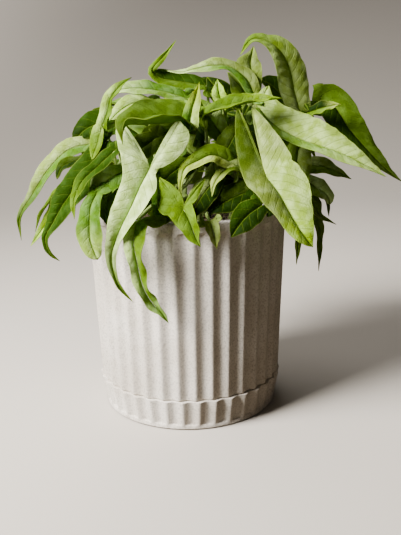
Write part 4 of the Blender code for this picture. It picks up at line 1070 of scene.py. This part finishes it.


# %% [markdown]
# ## The ten stems
#
# A pot of this plant holds several young stems side by side. Each cell below grows one of them.
# Places are in millimetres from the middle of the saucer's underside, with +Z up and -Y towards the
# front. The leaves that the camera sees were measured on the picture, one by one, and the inner ones
# fill the dark places behind them. Those at the back follow one rule, an arch with a given azimuth,
# height and length.

# %% The front left stem
grow("front_left", (-20, -36), [
    # The large pale arrow leaf at the front left, whose long twisted tip hangs over the rim.
    leaf([(-22, -64, 182, 21, 3), (-28, -70, 172, 12.8, 12.5), (-34, -76, 160, 11, 12),
          (-40, -80, 149, 9, 8), (-44, -80, 140, 6.5, 4), (-47, -80, 130, 4, 3.2),
          (-46, -79, 118, 2.2, 2.4), (-43, -78, 109, 1.6, 1.8), (-35, -78, 99, 0)],
         facing=[(0.1, -1, 0.3), (0, -1, 0.2), (0.3, -1, 0.3), (0.5, -0.8, 0.3)],
         right=lobe((-40, -50, 208), 2, 6, blunt=0.35),
         left=lobe((-3, -60, 210), 2.8, 10.9, blunt=0.35), folds=(8, 50),
         look=("silver", "silver", "lime_olive")),
    # Long wavy leaf that hangs down the front of the pot.
    leaf([(-31, -77, 150, 8), (-33, -81, 140, 6.4, 8), (-31, -82, 124, 5.8), (-28, -81, 109, 5),
          (-23, -80, 99, 4.2), (-17, -80, 92, 2.6), (-13, -80, 85, 0)],
         facing=[(0.1, -1, 0.3), (0.2, -1, 0.2), (0.5, -1, 0.2)], right=lobe((-40, -72, 152), 3, 3.5),
         left=lobe((-12, -72, 151), 3, 4, facing=(0, -1, 0.3)), folds=(10, 55), wave=1.6, waves=3.5,
         look=("silver", "lime", "mint", "silver", "lime")),
    # Blunt silvery leaf that hangs over the left of the rim.
    leaf([(-55, -68, 168, 4), (-59, -72, 160, 6.2), (-60, -75, 150, 8), (-60, -76, 140, 8.4),
          (-58, -76, 132, 5.8), (-56, -76, 127, 0)],
         facing=[(-0.3, -1, 0.2), (-0.3, -1, 0.1)], right=lobe((-59, -64, 170), blunt=0.4),
         left=lobe((-46, -62, 173), 4, 4, blunt=0.4), folds=(5, 5), roundness=2,
         look=("sage", "sage", "pale_mint")),
    # Small grey-green leaf above it. Its right half lies in shade and has the palest tone, painted light.
    leaf([(-39, -58, 179, 5), (-46, -62, 176, 8), (-53, -64, 171, 8), (-58, -65, 163, 0)],
         facing=[(-0.2, -0.9, 0.4), (-0.3, -1, 0.2)], right=lobe((-39, -52, 185), blunt=0.5),
         left=lobe((-34, -58, 172), blunt=0.5), folds=(5, 5), roundness=1.6,
         look=("silver", "sage", "olive")),
    # Narrow bright leaf with a pale margin.
    leaf([(-43, -58, 193, 5), (-55, -64, 183, 5.6), (-64, -67, 175, 4.8), (-69, -69, 165, 3.4),
          (-70, -70, 152, 0)],
         facing=[(-0.6, -0.8, 0.4), (-0.7, -0.8, 0.2), (-0.7, -0.8, 0.1)], right=lobe((-44, -46, 197)),
         left=lobe((-37, -54, 187)), look=("grass", "grass", "lime")),
    # Inner leaf, beside the blunt silvery leaf.
    leaf([(-43, -56, 175, 5), (-48, -60, 166, 7), (-51, -63, 157, 6), (-50, -66, 146, 0)],
         facing=[(-0.1, -1, 0.3), (-0.1, -1, 0.2)], right=lobe((-46, -51, 183)),
         left=lobe((-34, -51, 176)), look=("shade", "shade", "deep")),
    # Inner leaf, under the large pale leaf.
    leaf([(-29, -41, 164, 6), (-22, -47, 157, 8), (-18, -53, 151, 6), (-17, -57, 143, 0)],
         facing=[(-0.1, -0.9, 0.4), (-0.1, -0.9, 0.3)], right=lobe((-40, -36, 164)),
         left=lobe((-27, -36, 174)), look=("olive", "shade", "deep")),
])

# %% The left stem
grow("left", (-40, -10), [
    # Silvery leaf that reaches furthest left and hooks down.
    leaf([(-61, -26, 193, 6), (-76, -30, 190, 8), (-89, -34, 179, 7.5), (-101, -38, 162, 4.2),
          (-110, -40, 147, 2), (-110, -42, 132, 0)],
         facing=[(-0.2, -0.7, 0.7), (-0.4, -0.8, 0.4), (-0.4, -0.9, 0.2)],
         right=lobe((-57, -14, 200), 4, 4), left=lobe((-54, -30, 185), 4, 4), folds=(5, 20),
         look=("grey_mint", "sage", "grass")),
    # Leaf behind, of which the pale tip shows.
    leaf([(-63, -22, 177, 6), (-80, -32, 157, 8), (-95, -36, 140, 4), (-105, -38, 127, 0)],
         facing=[(-0.4, -0.8, 0.4), (-0.5, -0.8, 0.2)], right=lobe((-63, -12, 185), 4, 4),
         left=lobe((-55, -26, 174), 4, 4), look=("lime", "mint", "lime_pale")),
    # Small dark curled leaf under the silvery one.
    leaf([(-60, -34, 185, 4), (-70, -40, 184, 5), (-79, -44, 181, 5), (-83, -46, 173, 0)],
         facing=[(-0.2, -0.6, 0.8), (-0.5, -0.7, 0.4)], right=lobe((-57, -28, 190)),
         left=lobe((-55, -36, 181)), folds=(5, 20), roundness=1.5, look=("olive", "deep", "deep")),
    # Broad bright green leaf with a long hooked tip.
    leaf([(-50, -44, 197, 7), (-56, -48, 186, 9.5), (-65, -54, 174, 11), (-76, -58, 162, 9.2),
          (-85, -58, 148, 5.6), (-91, -58, 137, 3), (-89, -57, 127, 1.6), (-83, -56, 121, 0)],
         facing=[(-0.3, -0.9, 0.4), (-0.4, -0.9, 0.3), (-0.5, -0.8, 0.2)],
         right=lobe((-48, -34, 206), 4, 4), left=lobe((-41, -48, 190), 4, 5),
         look=("grass", "grass", "grass")),
    # Rounded dark leaf at the back left.
    leaf([(-45, -14, 205, 9), (-58, -18, 205, 11), (-67, -20, 201, 8.5), (-74, -22, 194, 0)],
         facing=[(-0.2, -0.8, 0.6), (-0.3, -0.8, 0.5)], right=lobe((-49, -4, 215), 4, 4, blunt=0.5),
         left=lobe((-39, -18, 196), 4, 4, blunt=0.5), folds=(5, 5), roundness=1.6,
         look=("grass", "grass", "deep")),
    # Narrow yellow-green leaf that stands on its hanging lobe.
    leaf([(-52, -46, 206, 4.5), (-48, -47, 215, 5.5), (-45, -48, 224, 5), (-39, -49, 231, 2.8),
          (-32, -49, 236, 0)],
         facing=[(-0.3, -1, 0.1), (-0.5, -1, 0.1)], right=lobe((-42, -46, 209), 2, 2),
         left=lobe((-59, -52, 186), 3, 4, blunt=0.8, facing=(-0.3, -1, 0.2)), folds=(50, 10),
         look=("lime_olive", "pale_mint", "lime", "silver", "lime")),
])

# %% The mid left stem
grow("mid_left", (-14, -12), [
    # Broad olive leaf that points left, its near half folded down.
    leaf([(1, -42, 209, 15), (-12, -48, 208, 18), (-26, -54, 208, 16), (-36, -60, 208, 8),
          (-38, -64, 204, 3), (-38, -66, 197, 0)],
         facing=[(0, -0.8, 0.6), (0, -0.8, 0.6), (-0.3, -0.8, 0.5)], right=lobe((9, -32, 218), 4, 3),
         left=lobe((7, -50, 200), 3, 4), folds=(0, 70), look=("lime_olive", "lime_olive", "olive")),
    # Silvery leaf seen from its edge.
    leaf([(1, -20, 221, 5), (-16, -22, 226, 6.4), (-35, -24, 228, 6), (-51, -26, 225, 0)],
         facing=[(0, -0.6, 0.8)], right=lobe((8, -8, 225), 3, 4), left=lobe((8, -30, 215), 3, 4),
         roundness=1.4, look=("sage", "mint", "silver")),
    # Small pale leaf below it.
    leaf([(-22, -28, 219, 4), (-33, -34, 219, 7), (-42, -38, 214, 5), (-48, -40, 208, 0)],
         facing=[(-0.1, -0.7, 0.7), (-0.4, -0.8, 0.5)], right=lobe((-16, -20, 222)),
         left=lobe((-17, -32, 213)), roundness=1.4, look=("pale_mint", "pale_mint", "pale_mint")),
    # Green leaf between the lobes of the large pale one.
    leaf([(-18, -44, 198, 6), (-26, -48, 193, 9), (-32, -50, 190, 6), (-37, -52, 187, 0)],
         facing=[(-0.1, -0.9, 0.5), (-0.1, -0.9, 0.4)], right=lobe((-16, -38, 205), 4, 4),
         left=lobe((-12, -46, 193), 4, 4), look=("olive", "olive", "deep")),
    # Narrow silvery leaf that stands upright.
    leaf([(1, -48, 193, 4), (3, -46, 204, 5.8), (5, -44, 215, 5.2), (8, -41, 224, 2.9),
          (10, -40, 232, 0)],
         facing=[(-0.2, -1, 0.1), (-0.3, -1, 0.1)], right=lobe((7, -50, 187), 2, 2, blunt=0.8),
         left=lobe((-3, -46, 186), 2, 2, blunt=0.8), folds=(10, 20),
         look=("pale_mint", "sage", "yellow")),
    # Inner leaf, behind the olive leaf.
    leaf([(-4, -34, 201, 6), (-14, -38, 200, 8), (-24, -42, 198, 6), (-30, -44, 196, 0)],
         facing=[(-0.1, -0.9, 0.4)], right=lobe((1, -29, 211)), left=lobe((5, -29, 195)),
         look=("shade", "shade", "deep")),
    # Inner leaf, between the large pale leaf and the arching one.
    leaf([(6, -42, 184, 6), (-5, -51, 179, 9), (-13, -57, 173, 7), (-18, -62, 165, 0)],
         facing=[(-0.1, -0.9, 0.4), (-0.2, -0.9, 0.3)], right=lobe((8, -35, 196)),
         left=lobe((18, -35, 179)), look=("lime_olive", "grass", "deep")),
    # Inner leaf, behind the arching leaf.
    leaf([(8, -19, 206, 6), (5, -23, 195, 9), (5, -29, 185, 7), (8, -33, 175, 0)],
         facing=[(-0.1, -0.9, 0.4), (-0.1, -0.9, 0.3)], right=lobe((0, -14, 216)),
         left=lobe((19, -14, 212)), look=("deep", "deep", "deep")),
])

# %% The front stem
grow("front", (8, -40), [
    # Tiny leaf at the rim.
    leaf([(14, -75, 150, 4), (16, -79, 144, 4.8), (18, -80, 133, 0)],
         facing=[(0.1, -1, 0.5), (0.1, -1, 0.2)], right=lobe((7, -78, 147), 2, 3),
         left=lobe((22, -76, 152), 2, 3), folds=(30, 30), look=("cream", "olive_pale", "cream")),
    # Dark leaf low at the front.
    leaf([(-16, -60, 166, 6), (-13, -66, 158, 9), (-17, -70, 151, 6), (-22, -72, 147, 0)],
         facing=[(-0.1, -0.9, 0.5), (-0.1, -1, 0.3)], right=lobe((-24, -58, 167), 4, 4),
         left=lobe((-9, -58, 169), 4, 4), look=("sage", "olive", "olive")),
])

# %% The front right stem
grow("front_right", (32, -30), [
    # The broad arrow leaf at the front right, nearly flat, with two long lobes. Its right lobe has a
    # darker olive tone, painted shade where that lobe lies in shade.
    leaf([(50, -66, 175, 14, 19.5), (57, -72, 166, 14, 20), (63, -78, 155, 11, 15.3),
          (69, -83, 145, 8, 9.8), (73, -84, 139, 5, 5.2), (77, -84, 134, 0)],
         facing=[(0.1, -1, 0.45), (0.1, -1, 0.3)], right=lobe((34, -44, 216), 1.5, 6, blunt=0.7),
         left=lobe((43, -40, 216), 1, 6, blunt=0.7), folds=(22, 8),
         look=("olive_pale", "pale_mint", "lime_pale", "olive", "grey_mint")),
    # Dark leaf that dips over the rim.
    leaf([(47, -66, 157, 6), (38, -71, 152, 9), (32, -74, 146, 6.5), (27, -76, 139, 0)],
         facing=[(-0.1, -0.9, 0.5), (-0.1, -1, 0.2)], right=lobe((44, -58, 163), 4, 4),
         left=lobe((55, -68, 152), 4, 4), look=("grass", "deep", "deep")),
    # Dark leaf low in the middle.
    leaf([(46, -54, 165, 5), (33, -58, 162, 9), (21, -62, 157, 7), (12, -64, 152, 0)],
         facing=[(-0.1, -0.8, 0.6), (-0.3, -0.9, 0.4)], right=lobe((51, -46, 171), 4, 4),
         left=lobe((51, -58, 158), 4, 4), look=("olive", "deep", "deep")),
    # Green leaf inside the plant.
    leaf([(35, -34, 202, 6), (28, -42, 191, 9), (22, -46, 183, 5), (18, -48, 176, 0)],
         facing=[(-0.2, -0.9, 0.4), (-0.3, -0.9, 0.3)], right=lobe((34, -26, 209), 4, 4),
         left=lobe((41, -36, 197), 4, 4), look=("olive", "deep", "olive")),
    # Olive leaf that hooks down.
    leaf([(39, -50, 179, 5), (29, -54, 180, 7.5), (23, -58, 177, 4.4), (18, -62, 171, 2.6),
          (16, -64, 163, 0)],
         facing=[(-0.2, -0.6, 0.8), (-0.4, -0.8, 0.4)], right=lobe((44, -42, 185), 4, 4),
         left=lobe((45, -50, 172), 4, 4), folds=(10, 20), look=("olive_pale", "olive", "cream")),
    # Yellowish leaf that arches over to the left.
    leaf([(33, -50, 180, 6), (17, -56, 188, 7.5), (8, -59, 185, 5.6), (0, -61, 181, 3.8),
          (-3, -62, 172, 2.2), (-3, -62, 159, 0)],
         facing=[(-0.1, -0.7, 0.7), (-0.3, -0.8, 0.4), (-0.6, -0.7, 0.3)],
         right=lobe((37, -40, 187), 4, 4), left=lobe((40, -50, 172), 4, 4), folds=(10, 20),
         look=("lime", "cream", "cream")),
    # Small yellow-green arrow leaf at the front.
    leaf([(-2, -79, 159, 10.5, 6.5), (2, -82, 150, 7.5, 8), (5, -84, 142, 4.4, 4.2), (8, -85, 136, 0)],
         facing=[(0, -1, 0.4), (0, -1, 0.2)], right=lobe((-16, -70, 177), 4, 7, blunt=1.1),
         left=lobe((12, -68, 175), 1.8, 2.2, blunt=0.9, facing=(0.3, -1, 0.1)), folds=(5, 55),
         look=("lime", "lime", "lime")),
    # Inner leaf, blue-green, beside the broad one.
    leaf([(49, -48, 174, 6), (41, -54, 167, 8.5), (33, -58, 161, 6.5), (25, -60, 156, 0)],
         facing=[(-0.1, -0.9, 0.4)], right=lobe((49, -43, 185)), left=lobe((61, -43, 172)),
         look=("olive", "deep", "grass")),
    # Inner leaf, behind the hooked leaf.
    leaf([(31, -28, 187, 6), (27, -33, 176, 9), (25, -37, 166, 7), (27, -40, 156, 0)],
         facing=[(-0.1, -0.9, 0.4), (-0.1, -0.9, 0.3)], right=lobe((25, -24, 198)),
         left=lobe((43, -24, 191)), look=("shade", "shade", "shade")),
])

# %% The mid stem
grow("mid", (14, -4), [
    # Rolled yellow-green leaf that lies level.
    leaf([(13, -34, 211, 6), (28, -38, 216, 8), (46, -36, 219, 6), (64, -30, 220, 0)],
         facing=[(0, -0.4, 0.92)], right=lobe((14, -42, 202), 2, 2, blunt=0.8),
         left=lobe((6, -24, 214), 3, 4), folds=(30, 30), look=("lime", "lime_olive", "lime_pale")),
    # Lime green tip.
    leaf([(25, -24, 217, 3), (23, -24, 224, 5), (22, -24, 233, 0)],
         facing=[(-0.1, -1, 0.2)], right=lobe((29, -24, 213), 2, 2), left=lobe((20, -24, 213), 2, 2),
         folds=(30, 10), look=("lime_pale", "lime_pale", "lime_pale")),
    # Cream leaf that arches to the left along the top.
    leaf([(47, -14, 222, 5), (42, -13, 232, 6), (31, -12, 240, 5), (19, -12, 241, 5.4),
          (8, -12, 239, 3.4), (-1, -12, 237, 1.8), (-11, -12, 238, 0)],
         facing=[(-0.1, -0.75, 0.65)], right=lobe((46, 4, 224)), left=lobe((51, -24, 216)),
         folds=(5, 15), look=("olive_pale", "sage", "silver")),
    # Folded leaf that stands upright.
    leaf([(49, -8, 217, 3.5, 3), (48, -8, 228, 4.6, 5), (46, -8, 236, 7.6, 8), (45, -8, 243, 6.6, 9.5),
          (46, -9, 248, 4, 3.4), (47, -10, 253, 0)],
         facing=[(-0.2, -1, 0.1)], right=lobe((54, -10, 208)), left=lobe((41, -6, 208)), folds=(15, 15),
         look=("olive_pale", "olive_pale", "olive_pale")),
    # The big pale leaf that points right.
    leaf([(49, -22, 214, 5, 12), (59, -28, 203, 6, 17), (75, -34, 194, 7, 19), (91, -40, 189, 8.4, 16),
          (106, -44, 183, 6.5, 9.6), (130, -46, 170, 0)],
         facing=[(0.1, -0.8, 0.6)], right=lobe((42, -34, 204), 4, 4, blunt=0.7),
         left=lobe((57, -12, 227), 4, 3, blunt=0.9), folds=(20, 3),
         look=("mint", "pale_mint", "pale_mint", "mint", "pale_mint")),
    # Green leaf at the back with a thin raised tip.
    leaf([(15, 6, 227, 6), (-2, 6, 230, 8), (-16, 6, 233, 7), (-21, 4, 238, 3.5), (-13, 3, 247, 2),
          (-4, 2, 258, 0)],
         facing=[(0, -0.6, 0.8), (0, -0.7, 0.7), (0.6, -0.8, 0.4)], right=lobe((17, 18, 232), 3, 4),
         left=lobe((19, 0, 219), 3, 4), look=("grass", "lime_olive", "lime")),
    # Dark leaf at the back, left of the middle.
    leaf([(33, 0, 212, 6), (26, 3, 221, 8.5), (21, 5, 227, 6.5), (16, 8, 233, 0)],
         facing=[(-0.1, -0.9, 0.4)], right=lobe((46, 3, 210)), left=lobe((31, 3, 199)),
         look=("deep", "grass", "deep")),
    # Inner leaf, dark olive, at the back.
    leaf([(48, 2, 211, 6), (43, 2, 221, 9), (37, 2, 229, 7), (30, 2, 236, 0)],
         facing=[(-0.1, -0.9, 0.4)], right=lobe((62, 7, 208)), left=lobe((44, 7, 198)),
         look=("olive", "shade", "olive_pale")),
    # Inner leaf, under the rolled leaf.
    leaf([(25, -22, 196, 6), (18, -24, 206, 8.5), (13, -24, 215, 5.5), (10, -24, 221, 0)],
         facing=[(-0.1, -0.9, 0.4)], right=lobe((37, -17, 193)), left=lobe((22, -17, 183)),
         look=("silver", "shade", "lime_olive")),
    # Inner leaf, deep in the middle.
    leaf([(19, -54, 172, 6), (11, -60, 164, 8.5), (5, -66, 156, 6), (0, -70, 148, 0)],
         facing=[(-0.1, -0.9, 0.4), (-0.1, -0.9, 0.3)], right=lobe((18, -49, 183)),
         left=lobe((31, -49, 171)), look=("grey_mint", "deep", "deep")),
    # Inner leaf, behind the broad leaf.
    leaf([(40, -11, 206, 6), (45, -17, 196, 8), (49, -21, 186, 6), (51, -25, 175, 0)],
         facing=[(0, -0.9, 0.4)], right=lobe((29, -6, 209)), left=lobe((45, -6, 216)),
         look=("deep", "deep", "deep")),
])

# %% The right stem
grow("right", (42, 2), [
    # Dark green leaf that reaches furthest right.
    leaf([(90, 12, 215, 11), (103, 8, 213, 14), (115, 2, 196, 12.5), (131, -2, 178, 7),
          (142, -4, 167, 3), (152, -6, 159, 0)],
         facing=[(0.25, -0.85, 0.5), (0.3, -0.8, 0.4)], right=lobe((80, 2, 208), 4, 4),
         left=lobe((99, 22, 226), 4, 4), folds=(5, 10), look=("grass", "lime_olive", "olive")),
    # Olive leaf that arches over the top, the highest of all.
    leaf([(81, 4, 207, 7), (76, 2, 223, 10.3), (72, -1, 238, 10.4), (65, -4, 250, 8.4),
          (56, -5, 256, 5.4), (46, -6, 257, 3), (38, -8, 247, 0)],
         facing=[(0.1, -1, 0.1), (0.1, -1, 0.2), (0, -0.8, 0.6), (0, -0.6, 0.8)],
         right=lobe((91, 8, 198)), left=lobe((72, 2, 199)), folds=(8, 8),
         look=("olive_pale", "grey_mint", "lime")),
    # Small lime leaf at the right.
    leaf([(86, -8, 209, 4), (95, -10, 212, 5), (106, -12, 214, 0)],
         facing=[(0, -0.7, 0.7)], right=lobe((81, -12, 205), 2, 2), left=lobe((83, 0, 214), 2, 2),
         folds=(20, 20), look=("lime", "deep", "cream")),
    # Shaded leaf at the right.
    leaf([(82, 2, 169, 6), (93, 0, 171, 7), (103, -2, 168, 5), (117, -2, 161, 0)],
         facing=[(0.1, -0.8, 0.6), (0.3, -0.8, 0.5)], right=lobe((75, -4, 163), 4, 4),
         left=lobe((77, 12, 175), 4, 4), look=("shade", "grey_mint", "shade")),
    # Leaf under the big pale one.
    leaf([(79, -12, 191, 6), (76, -18, 178, 10), (78, -22, 163, 6), (80, -24, 154, 0)],
         facing=[(0.2, -0.9, 0.4), (0.2, -1, 0.2)], right=lobe((69, -8, 194), 4, 4),
         left=lobe((88, -6, 195), 4, 4), look=("shade", "olive_pale", "shade")),
    # Rounded shaded leaf. Its left half and tip have the palest tone, painted light on a leaf in shade.
    leaf([(85, 6, 160, 5), (94, 4, 154, 7.6), (101, 2, 149, 5), (103, 2, 142, 0)],
         facing=[(0.3, -0.8, 0.5), (0.3, -0.9, 0.4)], right=lobe((75, 2, 156), 4, 4),
         left=lobe((83, 14, 167), 4, 4), roundness=1.8, look=("shade", "silver", "silver")),
    # Shaded leaf below it.
    leaf([(84, 12, 150, 5.5), (92, 12, 141, 7), (97, 11, 133, 3), (110, 12, 125, 0)],
         facing=[(0.3, -0.8, 0.5), (0.3, -0.9, 0.4)], right=lobe((75, 8, 149), 4, 4),
         left=lobe((85, 20, 157), 4, 4), look=("grey_mint", "shade", "shade")),
    # Leaf that hangs beside the pot.
    leaf([(70, -30, 149, 5), (75, -34, 131, 3.6), (74, -36, 109, 0)],
         facing=[(0.3, -0.9, 0.3), (0.3, -0.9, 0.1)], right=lobe((63, -30, 153)),
         left=lobe((77, -28, 154)), look=("shade", "shade", "shade")),
    # Dark leaf at the back, right of the middle.
    leaf([(75, 8, 208, 7), (68, 8, 219, 10), (60, 6, 227, 7), (51, 4, 231, 0)],
         facing=[(-0.1, -0.9, 0.4), (-0.1, -0.8, 0.6)], right=lobe((91, 13, 205)),
         left=lobe((73, 13, 193)), look=("grass", "shade", "deep")),
    # Leaves that arch over the back of the pot.
    arching_leaf(102, 70, 162, 5, -85, 60, 12, 6, look=("deep", "deep", "grass")),
    # Inner leaf, under the big pale leaf.
    leaf([(59, -4, 204, 6), (63, -8, 192, 9), (68, -12, 181, 7), (76, -14, 172, 0)],
         facing=[(0.1, -0.9, 0.4)], right=lobe((47, 1, 209)), left=lobe((66, 1, 214)),
         look=("shade", "deep", "shade")),
])

# %% The back right stem
grow("back_right", (32, 32), [
    # Leaf that hangs beside the pot, further back.
    leaf([(91, 26, 142, 4.5), (98, 28, 128, 4.2), (101, 30, 112, 3.4), (101, 30, 84, 0)],
         facing=[(0.4, -0.8, 0.3), (0.4, -0.9, 0.1)], right=lobe((83, 24, 149)),
         left=lobe((97, 26, 150)), look=("shade", "shade", "shade")),
    # Leaves that arch over the back of the pot.
    arching_leaf(134, 60, 163, 15, -80, 74, 15, -6, look=("deep", "grass", "grass")),
    arching_leaf(156, 62, 168, 16, -78, 74, 15, 5, look=("grass", "mint", "lime")),
    arching_leaf(125, 54, 186, 25, -60, 78, 16, -5, look=("mint", "grass", "lime")),
    arching_leaf(150, 46, 188, 28, -55, 76, 16, 6, look=("deep", "grass", "grass")),
    arching_leaf(126, 36, 204, 42, -40, 60, 12, 5, look=("lime", "grass", "lime")),
])

# %% The back stem
grow("back", (-2, 40), [
    # Leaves that arch over the back of the pot.
    arching_leaf(179, 62, 160, 10, -85, 66, 14, -5, look=("shade", "grass", "grass")),
    arching_leaf(177, 50, 184, 22, -65, 70, 15, -4, look=("mint", "silver", "lime")),
])

# %% The back left stem
grow("back_left", (-34, 24), [
    # Leaves that arch over the back of the pot.
    arching_leaf(212, 58, 165, 20, -78, 76, 16, 6, look=("grass", "grass", "lime")),
    arching_leaf(238, 60, 163, 10, -80, 70, 14, -6, look=("deep", "grass", "grass")),
    arching_leaf(262, 64, 160, 5, -78, 64, 13, 5, look=("lime", "grass", "lime")),
    arching_leaf(204, 46, 188, 30, -55, 78, 16, 5, look=("silver", "mint", "lime")),
    arching_leaf(230, 48, 186, 25, -60, 76, 16, -5, look=("grass", "deep", "grass")),
    arching_leaf(186, 34, 204, 40, -40, 56, 12, -5, look=("lime", "yellow", "lime")),
    arching_leaf(236, 30, 204, 40, -45, 60, 12, 5, look=("mint", "grass", "grass")),
])

# %% [markdown]
# ## Sizes
#
# The boxes of the imported model and of the visual one are printed, in millimetres.

# %% Sizes and finish
seen_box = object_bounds()
boxes = {"cad": [list(corner) for corner in cad_box], "visual": [list(corner) for corner in seen_box]}
for name, box in boxes.items():
    print(name, "box in mm:", [[round(value / MM, 1) for value in corner] for corner in box])
